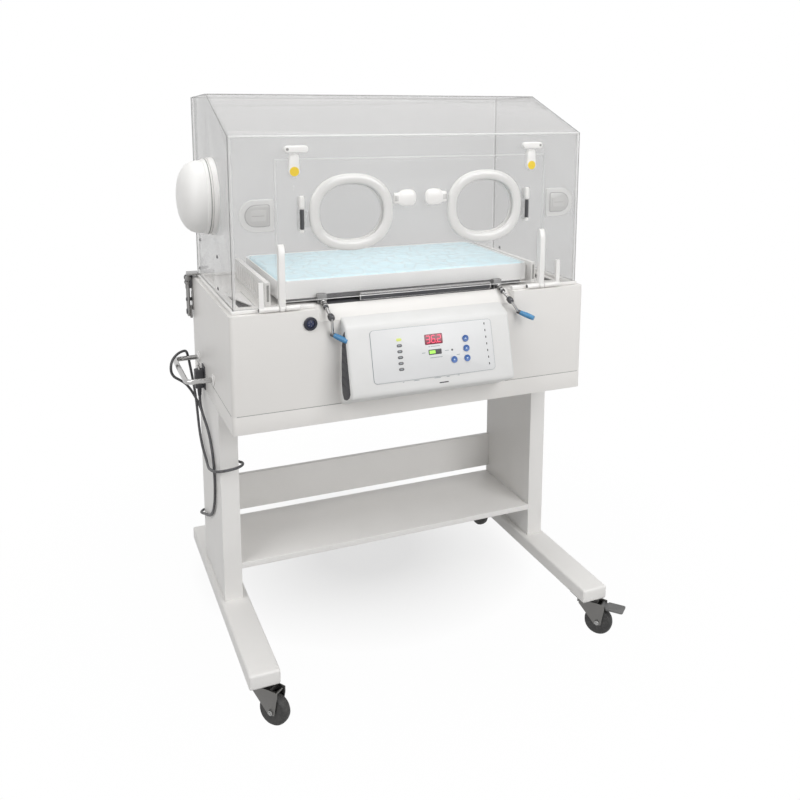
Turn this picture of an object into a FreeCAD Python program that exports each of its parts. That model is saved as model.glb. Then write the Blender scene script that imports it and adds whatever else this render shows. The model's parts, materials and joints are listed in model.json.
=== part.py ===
import FreeCAD, Part
import math
import os
import re

import Sketcher

# Closed infant incubator on a four-caster trolley stand.
# Millimetres, +Z up, +X to the right seen from the front, +Y to the back.
# The origin lies on the floor under the middle of the stand.

os.makedirs("parts", exist_ok=True)
document = FreeCAD.newDocument("infant_incubator")

# Driving dimensions, one cell each
SIZES = {
    # stand
    "foot_length": 775, "foot_width": 72, "foot_height": 36, "foot_wall": 2, "foot_toe": 3,
    "leg_width": 46, "leg_depth": 275, "leg_height": 510, "leg_wall": 2, "leg_proud": 1,
    "leg_front": -58, "shelf_rise": 96, "shelf_thick": 15, "sheet_wall": 1.5,
    "rail_rise": 118, "rail_height": 104, "rail_thick": 15,
    # casters
    "caster_height": 104, "caster_inset": 40, "caster_trail": 36, "wheel_radius": 37.5,
    "wheel_width": 26, "wheel_play": 1.5, "fork_wall": 2.5, "axle_radius": 4, "stem_radius": 6,
    "plate_side": 64, "plate_thick": 3, "race_radius": 18, "race_height": 8, "crown_thick": 6.6,
    "crown_gap": 0.4, "pedal_pivot": 46, "pedal_length": 58, "pedal_width": 38,
    "pedal_thick": 4, "pivot_radius": 2.5, "running_gap": 0.05,
    # cabinet
    "cabinet_width": 930, "cabinet_depth": 530, "front_face": -238, "pan_height": 45,
    "body_height": 235, "cabinet_corner": 10, "cabinet_wall": 3, "notch_side": 23,
    "notch_depth": 45, "notch_drop": 30, "vent_width": 40, "vent_length": 170,
    "vent_inset": 40, "vent_setback": 90, "return_length": 300, "return_width": 120,
    # hood
    "seat_gap": 0.4, "rim_height": 8, "rim_width": 16, "rim_inset": 18, "rim_clear": 4,
    "hood_side": 13, "hood_inset": 22, "hood_depth": 470, "hood_front_height": 400,
    "hood_ridge_height": 490, "hood_back_height": 480, "hood_ridge_run": 250, "acrylic": 5,
    "hinge_setback": 514, "hinge_rise": 2, "knuckle_radius": 6, "knuckle_length": 7.5,
    "hinge_pin": 3, "hinge_plate_width": 28, "hinge_plate_drop": 88, "leaf_thick": 3.6,
    "leaf_run": 44, "leaf_width": 15,
    # front door
    "door_side": 104, "door_rise": 18, "door_height": 329, "door_gap": 2,
    "rod_setback": 10, "rod_rise": 7.6, "rod_radius": 6.2, "rod_pin": 3.5, "rod_reach": 48,
    "rod_foot": 12, "fin_width": 10, "fin_depth": 8, "fin_height": 64, "arm_width": 12, "arm_barrel": 7, "arm_height": 148, "arm_gap": 2,
    "tab_inset": 42, "tab_width": 26, "tab_height": 52, "tab_drop": 39, "tab_depth": 9.7,
    "turn_inset": 24, "turn_length": 56, "turn_width": 16, "turn_depth": 10.5,
    "turn_rise": 24, "turn_post": 4, "turn_end": 7,
    # hand ports
    "port_spacing": 346, "port_rise": 223, "port_half_width": 76, "port_half_height": 64,
    "ring_band": 20, "ring_depth": 8, "lid_half_width": 102, "lid_half_height": 90,
    "lid_band": 24, "lid_depth": 12, "lid_pane": 3, "lid_gap": 0.3, "lid_hinge": 119,
    "lid_barrel": 5.5, "lid_pin": 2.5, "strip_width": 24, "strip_height": 84,
    "strip_thick": 4, "lug_height": 10, "lug_width": 12, "latch_start": 104,
    "latch_length": 56, "latch_height": 40, "latch_depth": 11.7, "latch_base": 8,
    # tube grommets beside the door, and the round port in the left end
    "grommet_side": 6, "grommet_radius": 37, "grommet_flat": 42, "grommet_depth": 7,
    "grommet_window": 20, "iris_setback": 222, "iris_rise": 248, "iris_hole": 76,
    "iris_flange": 94, "iris_flange_depth": 12, "cover_radius": 90, "cover_depth": 72,
    "cover_wall": 2.5, "cover_tip": 40,
    # bed
    "bed_setback": 80, "bed_depth": 350, "bed_width": 636, "bed_bar": 14, "bed_bar_height": 10,
    "bed_rise": 3.3, "pivot_reach": 5, "knuckle_bar": 3.6, "bed_pin": 2, "bed_knuckle": 24,
    "bed_lug": 6, "lug_half": 3.3, "bed_knuckle_inset": 60, "tray_over": 18, "tray_depth": 375, "tray_setback": 68,
    "tray_height": 44, "tray_wall": 3, "tray_corner": 24, "bed_gap": 0.3, "mattress_height": 41,
    "mattress_side": 4, "duct_beside": 34, "duct_thick": 12, "duct_height": 55,
    "duct_slot": 6, "duct_slot_pitch": 26, "duct_slots": 12,
    # tilt cranks
    "crank_beside": 20, "crank_lean": 20, "crank_setback": 55, "crank_rise": 11,
    "crank_shaft": 4, "shaft_inside": 10, "shaft_outside": 88, "yoke_radius": 8,
    "yoke_length": 16, "crank_arm": 46, "crank_arm_width": 8, "crank_arm_thick": 6,
    "grip_radius": 7, "grip_length": 40, "block_width": 22, "block_depth": 14,
    "block_height": 24, "left_arm_turn": -172, "right_arm_turn": -140,
    # control module
    "module_width": 430, "module_top": 25, "module_shoulder": 42, "module_top_depth": 38,
    "face_lean": 15.8, "face_length": 154, "lip_height": 12, "module_foot": 238,
    "module_wall": 3, "fascia_width": 318, "fascia_height": 126, "fascia_thick": 1.5,
    "fascia_drop": 11, "fascia_shift": 9, "cheek_thick": 2, "cheek_inset": 10,
    "display_width": 47, "display_height": 25, "display_drop": 46, "lamp_column": -88,
    "lamp_pitch": 14, "lamp_drop": 39, "lamp_radius": 3.5, "gauge_width": 32,
    "gauge_height": 13, "gauge_drop": 77, "print_thick": 0.8, "button_radius": 7,
    "button_column": 85, "button_side": 50, "button_drop": 53, "button_pitch": 24,
    "button_proud": 2.5, "button_hole": 7.3, "button_stem": 3,
    # sockets, handles and what is inside
    "socket_beside": 21, "socket_drop": 32, "socket_radius": 16, "socket_depth": 5,
    "socket_bore": 9, "handle_front": 227, "handle_span": 216, "handle_drop": 212,
    "handle_reach": 72, "handle_tube": 6.5, "handle_bend": 18, "handle_rose": 14,
    "rose_thick": 4,
    "inlet_setback": 373, "inlet_drop": 43, "inlet_width": 40, "inlet_height": 62,
    "inlet_depth": 3, "lead_radius": 3.5, "connector_width": 26, "connector_depth": 22,
    "connector_height": 50, "connector_rise": 5, "relief_length": 22, "relief_radius": 6,
    "clip_radius": 3, "clip_height": 10, "coil_inward": 235, "coil_setback": 400,
    "coil_radius": 40, "coil_height": 21.6, "plug_beside": 40, "plug_length": 44,
    "plug_width": 28, "plug_height": 16, "plug_rest": 0.3, "pin_radius": 2.4,
    "pin_length": 20, "pin_pitch": 14,
    "board_width": 240, "board_height": 104, "board_thick": 1.6, "standoff": 9,
    "standoff_radius": 3, "motor_radius": 30, "motor_height": 50, "motor_shaft": 4,
    "rotor_radius": 60, "rotor_height": 30, "rotor_wall": 4, "rotor_hub": 10,
    "rotor_lift": 8, "heater_radius": 92, "heater_tube": 5, "heater_rise": 96,
    "tank_length": 180, "tank_width": 120, "tank_height": 60, "tank_wall": 2.5,
    "tank_across": 190,
    "screw_radius": 4, "screw_head": 2.2,
}

# Places worked out from the driving dimensions
FORMULAS = {
    "hood_width": "cabinet_width - 2 * hood_side",
    "door_width": "hood_width - 2 * door_side",
    "rod_inner": "door_width / 2 - rod_reach",
    "rod_outer": "door_width / 2 + rod_reach",
    "tab_spacing": "door_width - 2 * tab_inset",
    "turn_spacing": "door_width - 2 * turn_inset",
    "grommet_start": "door_width / 2 + grommet_side",
    "crank_spacing": "module_width + 2 * crank_beside",
    "notch_width": "crank_spacing + 2 * notch_side",
    "rim_opening": "notch_width + 2 * rim_clear",
    "socket_across": "-notch_width / 2 - socket_beside",
    "leg_gauge": "cabinet_width - leg_width + 2 * leg_proud",
    "foot_gauge": "leg_gauge - 2 * foot_toe",
    "coil_across": "-side_x + coil_inward",
    "plug_start": "coil_across + plug_beside",
    "foot_top": "caster_height + foot_height",
    "cabinet_floor": "foot_top + leg_height",
    "body_floor": "cabinet_floor + pan_height",
    "deck": "body_floor + body_height",
    "rim_floor": "deck + seat_gap",
    "rim_top": "rim_floor + rim_height",
    "hood_front": "front_face + hood_inset",
    "hood_back": "hood_front + hood_depth",
    "door_floor": "deck + door_rise",
    "rod_y": "front_face + rod_setback",
    "rod_z": "deck + rod_rise",
    "hinge_y": "front_face + hinge_setback",
    "hinge_z": "deck + hinge_rise",
    "port_z": "deck + port_rise",
    "ring_y": "hood_front - ring_depth",
    "lid_y": "ring_y - lid_gap - lid_depth",
    "lid_axis_y": "lid_y + lid_depth / 2",
    "lid_axis_x": "port_spacing / 2 + lid_hinge",
    "turn_z": "door_floor + door_height + turn_rise",
    "turn_back": "hood_front - tab_depth - seat_gap - 0.4",
    "iris_y": "front_face + iris_setback",
    "iris_z": "deck + iris_rise",
    "bed_z": "deck + bed_rise",
    "bed_top": "bed_z + bed_bar_height",
    "bed_y": "front_face + bed_setback",
    "tray_z": "bed_top + bed_gap",
    "tray_y": "front_face + tray_setback",
    "tray_width": "bed_width + 2 * tray_over",
    "duct_inner": "bed_width / 2 + duct_beside",
    "pivot_x": "bed_width / 2 + pivot_reach",
    "pivot_z": "bed_z + bed_bar_height / 2",
    "crank_y": "front_face + crank_setback",
    "crank_z": "deck + crank_rise",
    "face_y": "front_face - module_top_depth",
    "face_z": "deck - module_shoulder",
    "face_run": "face_length * sin(face_lean)",
    "face_fall": "face_length * cos(face_lean)",
    "handle_y": "front_face + handle_front",
    "handle_z": "deck - handle_drop",
    "side_x": "cabinet_width / 2",
    "inlet_y": "front_face + inlet_setback",
    "connector_z": "cabinet_floor + connector_rise",
    "plug_z": "plug_rest + plug_height / 2",
    "caster_x": "foot_gauge / 2",
    "caster_y": "foot_length / 2 - caster_inset",
    "crown_top": "caster_height - plate_thick - race_height - crown_gap",
    "pedal_z": "crown_top - crown_thick - 4",
    "fork_half": "wheel_width / 2 + wheel_play",
    "pan_inside": "cabinet_floor + cabinet_wall",
    "fan_y": "front_face + cabinet_depth / 2",
}

sheet = document.addObject("Spreadsheet::Sheet", "dims")
for row, (alias, number) in enumerate(SIZES.items(), start=1):
    sheet.set("A%d" % row, alias)
    sheet.set("B%d" % row, str(number))
    sheet.setAlias("B%d" % row, alias)
document.recompute()

FORMULA_WORD = re.compile(r"\b(" + "|".join(FORMULAS) + r")\b")
SIZE_WORD = re.compile(r"\b(" + "|".join(SIZES) + r")\b")


def bound(text):
    """The expression with worked-out places written out and sizes read from the sheet."""
    text = str(text)
    while FORMULA_WORD.search(text):
        text = FORMULA_WORD.sub(lambda word: "(" + FORMULAS[word.group(0)] + ")", text)
    return SIZE_WORD.sub(r"dims.\1", text)


def value(text):
    """The number that an expression gives now."""
    return float(sheet.evalExpression(bound(text)))


def bind(target, path, text):
    target.setExpression(path, bound(text))


ALONG = {
    "x": FreeCAD.Rotation(FreeCAD.Vector(0, 1, 0), 90),
    "y": FreeCAD.Rotation(FreeCAD.Vector(1, 0, 0), -90),
    "z": FreeCAD.Rotation(),
}


def place(piece, at, turn=None, axis=None, angle=None):
    """Put a piece at a bound point, turned by a fixed rotation or a bound angle about an axis."""
    if axis is not None:
        piece.Placement = FreeCAD.Placement(FreeCAD.Vector(), FreeCAD.Rotation(FreeCAD.Vector(*axis), 1))
        bind(piece, "Placement.Rotation.Angle", angle)
    elif turn is not None:
        piece.Placement = FreeCAD.Placement(FreeCAD.Vector(), turn)
    for letter, text in zip("xyz", at):
        if str(text) != "0":
            bind(piece, "Placement.Base." + letter, text)
    return piece


def box(name, size, at=("0", "0", "0"), **turning):
    piece = document.addObject("Part::Box", name)
    for side, text in zip(("Length", "Width", "Height"), size):
        bind(piece, side, text)
    return place(piece, at, **turning)


def rod(name, radius, length, at=("0", "0", "0"), along="z", **turning):
    """A round bar that starts at a point and runs along an axis."""
    piece = document.addObject("Part::Cylinder", name)
    bind(piece, "Radius", radius)
    bind(piece, "Height", length)
    if turning:
        return place(piece, at, **turning)
    return place(piece, at, turn=ALONG[along])


def oval(name, half_width, half_height, depth, at):
    """An upright oval plate whose thickness runs to the back."""
    ring = document.addObject("Part::Ellipse", name + "_line")
    bind(ring, "MajorRadius", half_width)
    bind(ring, "MinorRadius", half_height)
    plate = document.addObject("Part::Extrusion", name)
    plate.Base = ring
    plate.DirMode = "Custom"
    plate.Dir = FreeCAD.Vector(0, 0, 1)
    plate.Solid = True
    bind(plate, "LengthFwd", depth)
    place(plate, at, turn=FreeCAD.Rotation(FreeCAD.Vector(1, 0, 0), 90))
    return plate


def cut(name, base, *tools):
    for number, tool in enumerate(tools):
        result = document.addObject("Part::Cut", "%s_cut_%d" % (name, number))
        result.Base = base
        result.Tool = tool
        base = result
    return base


def fuse(name, *pieces):
    joined = document.addObject("Part::MultiFuse", name + "_fused")
    joined.Shapes = list(pieces)
    joined.Refine = True
    return joined


def group(name, *pieces):
    """Separate solids that share one node."""
    together = document.addObject("Part::Compound", name + "_group")
    together.Links = list(pieces)
    return together


def prism(name, plane, outline, length, at=("0", "0", "0"), rounded=None, along=None, **turning):
    """A body padded both ways from a closed outline, with the edges along one axis rounded."""
    body = document.addObject("PartDesign::Body", name)
    sketch = body.newObject("Sketcher::SketchObject", name + "_sketch")
    origin_plane = [f for f in body.Origin.OriginFeatures if f.Role == plane + "_Plane"][0]
    sketch.AttachmentSupport = (origin_plane, [""])
    sketch.MapMode = "FlatFace"
    corners = [FreeCAD.Vector(value(across), value(up), 0) for across, up in outline]
    count = len(corners)
    for number in range(count):
        sketch.addGeometry(Part.LineSegment(corners[number], corners[(number + 1) % count]), False)
    for number in range(count):
        sketch.addConstraint(Sketcher.Constraint("Coincident", number, 2, (number + 1) % count, 1))
    for number, corner in enumerate(outline):
        for kind, text, start in zip(("DistanceX", "DistanceY"), corner, corners[number]):
            where = sketch.addConstraint(Sketcher.Constraint(kind, -1, 1, number, 1, start))
            if str(text) != "0":
                bind(sketch, "Constraints[%d]" % where, text)
    pad = body.newObject("PartDesign::Pad", name + "_pad")
    pad.Profile = sketch
    pad.Midplane = True
    bind(pad, "Length", length)
    if rounded:
        document.recompute()
        direction = FreeCAD.Vector(*along)
        edges = [
            "Edge%d" % number
            for number, edge in enumerate(pad.Shape.Edges, start=1)
            if abs(abs(edge.tangentAt(edge.FirstParameter).dot(direction)) - 1) < 1e-6
        ]
        fillet = body.newObject("PartDesign::Fillet", name + "_fillet")
        fillet.Base = (pad, edges)
        bind(fillet, "Radius", rounded)
    return place(body, at, **turning)


def slab(name, size, at, corner):
    """A box given by its low corner, with rounded upright edges."""
    width, depth, height = size
    half = "(%s) / 2" % width
    outline = [
        ("-" + half, "0"), (half, "0"), (half, depth), ("-" + half, depth),
    ]
    middle = ("%s + %s" % (at[0], half), at[1], "%s + (%s) / 2" % (at[2], height))
    return prism(name, "XY", outline, height, middle, rounded=corner, along=(0, 0, 1))


def mirrored(name, piece):
    """The same piece on the other side of the middle plane."""
    copy = document.addObject("Part::Mirroring", name + "_mirrored")
    copy.Source = piece
    copy.Normal = FreeCAD.Vector(1, 0, 0)
    return copy


NODES = {}


def node(label, piece):
    piece.Label = label
    NODES[label] = piece
    return piece


# Stand: two long feet, two upright box columns, a shelf and a rear rail

def hollow_bar(name, size, low, wall, open_along=None):
    """A rectangular tube, open at both ends along one axis or closed by end caps."""
    outer = box(name + "_outer", size, low)
    inner_size = ["%s - 2 * %s" % (text, wall) for text in size]
    inner_low = ["%s + %s" % (text, wall) for text in low]
    if open_along:
        run = "xyz".index(open_along)
        inner_size[run] = "%s + 2" % size[run]
        inner_low[run] = "%s - 1" % low[run]
    return cut(name, outer, box(name + "_inner", inner_size, inner_low))


left_foot = hollow_bar(
    "left_foot", ("foot_width", "foot_length", "foot_height"),
    ("-foot_gauge / 2 - foot_width / 2", "-foot_length / 2", "caster_height"), "foot_wall",
)
node("stand_feet", group("stand_feet", left_foot, mirrored("right_foot", left_foot)))

left_leg = hollow_bar(
    "left_leg", ("leg_width", "leg_depth", "leg_height"),
    ("-leg_gauge / 2 - leg_width / 2", "leg_front", "foot_top"), "leg_wall", "z",
)
node("stand_legs", group("stand_legs", left_leg, mirrored("right_leg", left_leg)))

leg_gap = "leg_gauge - leg_width"
shelf_outer = box(
    "shelf_outer", (leg_gap, "leg_depth", "shelf_thick"),
    ("-(%s) / 2" % leg_gap, "leg_front", "foot_top + shelf_rise - shelf_thick"),
)
shelf_inner = box(
    "shelf_inner", (leg_gap + " - 2 * sheet_wall", "leg_depth - 2 * sheet_wall", "shelf_thick"),
    (
        "-(%s) / 2 + sheet_wall" % leg_gap, "leg_front + sheet_wall",
        "foot_top + shelf_rise - shelf_thick - sheet_wall",
    ),
)
node("shelf", cut("shelf", shelf_outer, shelf_inner))
node("rear_rail", hollow_bar(
    "rear_rail", (leg_gap, "rail_thick", "rail_height"),
    ("-(%s) / 2" % leg_gap, "leg_front + leg_depth - rail_thick", "foot_top + rail_rise"),
    "sheet_wall", "x",
))


# Casters: a top plate with its stem, a swivel fork, a wheel, and a brake pedal on two of them

CASTERS = {
    "front_left": (-1, -1, -50),
    "front_right": (1, -1, -50),
    "rear_left": (-1, 1, 50),
    "rear_right": (1, 1, -80),
}
BRAKED = ("front_right", "rear_left")


def at_caster(piece, corner, swivelled=True):
    """Carry a piece that is drawn about the swivel axis to its corner, turned by its trail."""
    side, end, yaw = CASTERS[corner]
    if not swivelled:
        yaw = 0
    holder = document.addObject("Part::Compound", "%s_%s" % (piece.Name, corner))
    holder.Links = [piece]
    turn = FreeCAD.Rotation(FreeCAD.Vector(0, 0, 1), yaw)
    return place(holder, ("%d * caster_x" % side, "%d * caster_y" % end, "0"), turn=turn)


def caster_mount():
    plate = box(
        "caster_plate", ("plate_side", "plate_side", "plate_thick"),
        ("-plate_side / 2", "-plate_side / 2", "caster_height - plate_thick"),
    )
    race = rod("caster_race", "race_radius", "race_height", ("0", "0", "crown_top + crown_gap"))
    stem = rod(
        "caster_stem", "stem_radius", "crown_thick + crown_gap + race_height",
        ("0", "0", "crown_top - crown_thick"),
    )
    return fuse("caster_mount", plate, race, stem)


def caster_fork():
    crown = box(
        "fork_crown", ("34 + 20", "2 * fork_half + 2 * fork_wall", "crown_thick"),
        ("-20", "-fork_half - fork_wall", "crown_top - crown_thick"),
    )
    cheek = [
        ("-16", "crown_top - crown_thick"), ("34", "crown_top - crown_thick"),
        ("34", "crown_top"), ("pedal_pivot + 8", "crown_top - 3"),
        ("pedal_pivot + 8", "pedal_z - 6"), ("caster_trail + 10", "wheel_radius - 6"),
        ("caster_trail - 8", "wheel_radius - 6"), ("-16", "pedal_z"),
    ]
    legs = [
        prism(
            "fork_leg_" + side, "XZ", cheek, "fork_wall",
            ("0", "%s * (fork_half + fork_wall / 2)" % sign, "0"),
        )
        for side, sign in (("near", "-1"), ("far", "1"))
    ]
    width = "2 * fork_half + 2 * fork_wall"
    start = "-fork_half - fork_wall"
    axle = rod("fork_axle", "axle_radius", width, ("caster_trail", start, "wheel_radius"), "y")
    pivot = rod("fork_pivot", "pivot_radius", width, ("pedal_pivot", start, "pedal_z"), "y")
    solid = fuse("fork", crown, legs[0], legs[1], axle, pivot)
    bore = rod(
        "fork_bore", "stem_radius + running_gap", "crown_thick + 2",
        ("0", "0", "crown_top - crown_thick - 1"),
    )
    return cut("caster_fork", solid, bore)


def caster_wheel():
    tyre = rod(
        "wheel_disc", "wheel_radius", "wheel_width",
        ("caster_trail", "-wheel_width / 2", "wheel_radius"), "y",
    )
    bore = rod(
        "wheel_bore", "axle_radius + running_gap", "wheel_width + 2",
        ("caster_trail", "-wheel_width / 2 - 1", "wheel_radius"), "y",
    )
    rounded = document.addObject("Part::Fillet", "wheel_rounded")
    rounded.Base = tyre
    document.recompute()
    rims = [
        number for number, edge in enumerate(tyre.Shape.Edges, start=1)
        if isinstance(edge.Curve, Part.Circle)
    ]
    shoulder = value("wheel_width") * 0.2
    rounded.Edges = [(number, shoulder, shoulder) for number in rims]
    return cut("caster_wheel", rounded, bore)


def brake_pedal():
    inner = "2 * fork_half - 1.4"
    barrel = rod(
        "pedal_barrel", "pivot_radius + 2", inner,
        ("pedal_pivot", "-(%s) / 2" % inner, "pedal_z"), "y",
    )
    neck = box(
        "pedal_neck", ("14", inner, "pedal_thick"),
        ("pedal_pivot", "-(%s) / 2" % inner, "pedal_z - pedal_thick / 2"),
    )
    tread = slab(
        "pedal_tread", ("pedal_length - 11", "pedal_width", "pedal_thick"),
        ("pedal_pivot + 11", "-pedal_width / 2", "pedal_z - pedal_thick / 2"), "5",
    )
    bore = rod(
        "pedal_bore", "pivot_radius + running_gap", "pedal_width",
        ("pedal_pivot", "-pedal_width / 2", "pedal_z"), "y",
    )
    return cut("brake_pedal", fuse("pedal", barrel, neck, tread), bore)


mount_shape = caster_mount()
fork_shape = caster_fork()
wheel_shape = caster_wheel()
pedal_shape = brake_pedal()
node("caster_mounts", group("caster_mounts", *[at_caster(mount_shape, c, False) for c in CASTERS]))
for corner in CASTERS:
    node("caster_fork_" + corner, at_caster(fork_shape, corner))
    node("caster_wheel_" + corner, at_caster(wheel_shape, corner))
for corner in BRAKED:
    node("brake_pedal_" + corner, at_caster(pedal_shape, corner))


# Cabinet: a bottom pan under a deep body whose top is the deck of the baby compartment

pan_outer = slab(
    "pan_outer", ("cabinet_width", "cabinet_depth", "pan_height"),
    ("-side_x", "front_face", "cabinet_floor"), "cabinet_corner",
)
pan_inner = box(
    "pan_inner",
    ("cabinet_width - 2 * cabinet_wall", "cabinet_depth - 2 * cabinet_wall", "pan_height"),
    ("-side_x + cabinet_wall", "front_face + cabinet_wall", "pan_inside"),
)
node("bottom_pan", cut("bottom_pan", pan_outer, pan_inner))

body_outer = slab(
    "body_outer", ("cabinet_width", "cabinet_depth", "body_height"),
    ("-side_x", "front_face", "body_floor"), "cabinet_corner",
)
body_inner = box(
    "body_inner",
    (
        "cabinet_width - 2 * cabinet_wall", "cabinet_depth - 2 * cabinet_wall",
        "body_height - notch_drop - cabinet_wall + 1",
    ),
    ("-side_x + cabinet_wall", "front_face + cabinet_wall", "body_floor - 1"),
)
deck_void = box(
    "deck_void",
    (
        "cabinet_width - 2 * cabinet_wall",
        "cabinet_depth - notch_depth - 3 * cabinet_wall",
        "notch_drop + 1",
    ),
    (
        "-side_x + cabinet_wall", "front_face + notch_depth + 2 * cabinet_wall",
        "deck - notch_drop - cabinet_wall - 1",
    ),
)
notch = prism(
    "notch", "YZ",
    [("front_face - 1", "deck - notch_drop"), ("front_face + notch_depth", "deck + 1"), ("front_face - 1", "deck + 1")],
    "notch_width",
)


def vent(name, sign):
    low_x = "-side_x + vent_inset" if sign < 0 else "side_x - vent_inset - vent_width"
    return box(
        name, ("vent_width", "vent_length", "notch_drop + cabinet_wall + 2"),
        (low_x, "front_face + vent_setback", "deck - notch_drop - cabinet_wall"),
    )


return_grille = box(
    "return_opening", ("return_length", "return_width", "notch_drop + cabinet_wall + 2"),
    ("-return_length / 2", "fan_y - return_width / 2", "deck - notch_drop - cabinet_wall"),
)
cabinet_shell = cut(
    "cabinet_body", body_outer, body_inner, deck_void, notch,
    vent("left_vent", -1), vent("right_vent", 1), return_grille,
)


# Air ducts: slotted plates that stand on the deck past both ends of the bed

def air_duct():
    plate = box(
        "duct_plate", ("duct_thick", "bed_depth", "duct_height"),
        ("duct_inner", "bed_y", "deck"),
    )
    slots = document.addObject("Part::Compound", "duct_slots_tool")
    slots.Links = [
        box(
            "duct_slot_%d" % number, ("duct_thick + 2", "duct_slot", "duct_height - 20"),
            ("duct_inner - 1", "bed_y + 24 + %d * duct_slot_pitch" % number, "deck + 8"),
        )
        for number in range(SIZES["duct_slots"])
    ]
    return cut("air_duct", plate, slots)


right_duct = air_duct()
node("air_ducts", group("air_ducts", right_duct, mirrored("left_duct", right_duct)))


# Hood: a white rim, one bent clear sheet and two clear end panels, tipping back on two hinges

rim_outer = box(
    "rim_outer", ("hood_width + 8", "hood_depth + 8", "rim_height"),
    ("-hood_width / 2 - 4", "hood_front - 4", "rim_floor"),
)
rim_inner = box(
    "rim_inner", ("hood_width + 8 - 2 * rim_width", "hood_depth + 8 - 2 * rim_width", "rim_height + 2"),
    ("-hood_width / 2 - 4 + rim_width", "hood_front - 4 + rim_width", "rim_floor - 1"),
)
rim_break = box(
    "rim_break", ("rim_opening", "rim_width + 4", "rim_height + 2"),
    ("-rim_opening / 2", "hood_front - 6", "rim_floor - 1"),
)
node("hood_rim", cut("hood_rim", rim_outer, rim_inner, rim_break))

ROOF = [
    ("hood_front", "rim_top"),
    ("hood_front", "deck + hood_front_height"),
    ("hood_front + hood_ridge_run", "deck + hood_ridge_height"),
    ("hood_back", "deck + hood_back_height"),
    ("hood_back", "rim_top"),
]
ROOF_INSIDE = [
    ("hood_back - acrylic", "rim_top"),
    ("hood_back - acrylic", "deck + hood_back_height - acrylic"),
    ("hood_front + hood_ridge_run", "deck + hood_ridge_height - acrylic"),
    ("hood_front + acrylic", "deck + hood_front_height - acrylic * 0.7"),
    ("hood_front + acrylic", "rim_top"),
]
hood_sheet = prism("hood_sheet_blank", "YZ", ROOF + ROOF_INSIDE, "hood_width - 2 * acrylic")
door_opening = box(
    "door_opening",
    ("door_width + 2 * door_gap", "acrylic + 4", "door_floor + door_height + door_gap - rim_top + 4"),
    ("-door_width / 2 - door_gap", "hood_front - 2", "rim_top - 4"),
)
node("hood_sheet", cut("hood_sheet", hood_sheet, door_opening))

right_end = prism(
    "hood_end_right", "YZ", ROOF, "acrylic", ("hood_width / 2 - acrylic / 2", "0", "0"),
)
left_blank = prism(
    "hood_end_left", "YZ", ROOF, "acrylic", ("-hood_width / 2 + acrylic / 2", "0", "0"),
)
iris_hole = rod(
    "iris_hole", "iris_hole", "acrylic + 2", ("-hood_width / 2 - 1", "iris_y", "iris_z"), "x",
)
node("hood_ends", group("hood_ends", right_end, cut("left_end", left_blank, iris_hole)))

# Hood hinges: a slotted plate with a barrel on each cabinet end, and a leaf on the rim


def hinge_side(name, sign):
    barrel_low = "side_x + 0.3" if sign > 0 else "-side_x - 0.3 - knuckle_length"
    plate_low = "side_x" if sign > 0 else "-side_x - 3"
    barrel = rod(name + "_barrel", "knuckle_radius", "knuckle_length", (barrel_low, "hinge_y", "hinge_z"), "x")
    neck = box(
        name + "_neck", ("knuckle_length - 0.3", "8", "10"),
        (barrel_low, "hinge_y - 4", "hinge_z - 10"),
    )
    plate = box(
        name + "_plate", ("3", "hinge_plate_width", "hinge_plate_drop"),
        (plate_low, "hinge_y - hinge_plate_width / 2", "hinge_z - 8 - hinge_plate_drop"),
    )
    web = box(
        name + "_web", ("knuckle_length", "8", "8"),
        ("side_x" if sign > 0 else "-side_x - knuckle_length", "hinge_y - 4", "hinge_z - 16"),
    )
    slot = box(
        name + "_slot", ("5", "8", "30"),
        ("side_x - 1" if sign > 0 else "-side_x - 4", "hinge_y - 4", "hinge_z - 76"),
    )
    bore = rod(
        name + "_bore", "hinge_pin + running_gap", "knuckle_length + 2",
        (barrel_low + " - 1", "hinge_y", "hinge_z"), "x",
    )
    return cut(name, fuse(name, barrel, neck, plate, web), slot, bore)


def hinge_leaf():
    leaf = box(
        "leaf_plate",
        ("side_x - hood_width / 2 + 2 * knuckle_length + 0.6", "leaf_run", "leaf_thick"),
        ("hood_width / 2", "hinge_y - leaf_run", "rim_top"),
    )
    start = "side_x + 0.3 + knuckle_length + 0.3"
    barrel = rod("leaf_barrel", "knuckle_radius", "knuckle_length", (start, "hinge_y", "hinge_z"), "x")
    tail = box(
        "leaf_tail", ("knuckle_length", "leaf_width", "leaf_thick + rim_height"),
        (start, "hinge_y - leaf_width", "rim_floor"),
    )
    pin = rod(
        "leaf_pin", "hinge_pin", "knuckle_length + 0.6",
        ("side_x + 0.3", "hinge_y", "hinge_z"), "x",
    )
    return fuse("hinge_leaf", leaf, barrel, tail, pin)


node("hinge_plates", group("hinge_plates", hinge_side("right_hinge", 1), hinge_side("left_hinge", -1)))
right_leaf = hinge_leaf()
node("hinge_leaves", group("hinge_leaves", right_leaf, mirrored("left_leaf", right_leaf)))


# Round port in the left end: a flange on the panel and a domed cover that turns on it

flange = rod(
    "iris_flange_disc", "iris_flange", "iris_flange_depth",
    ("-hood_width / 2 - iris_flange_depth", "iris_y", "iris_z"), "x",
)
flange_bore = rod(
    "iris_flange_bore", "iris_hole", "iris_flange_depth + 2",
    ("-hood_width / 2 - iris_flange_depth - 1", "iris_y", "iris_z"), "x",
)
node("iris_flange", cut("iris_flange", flange, flange_bore))


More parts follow.
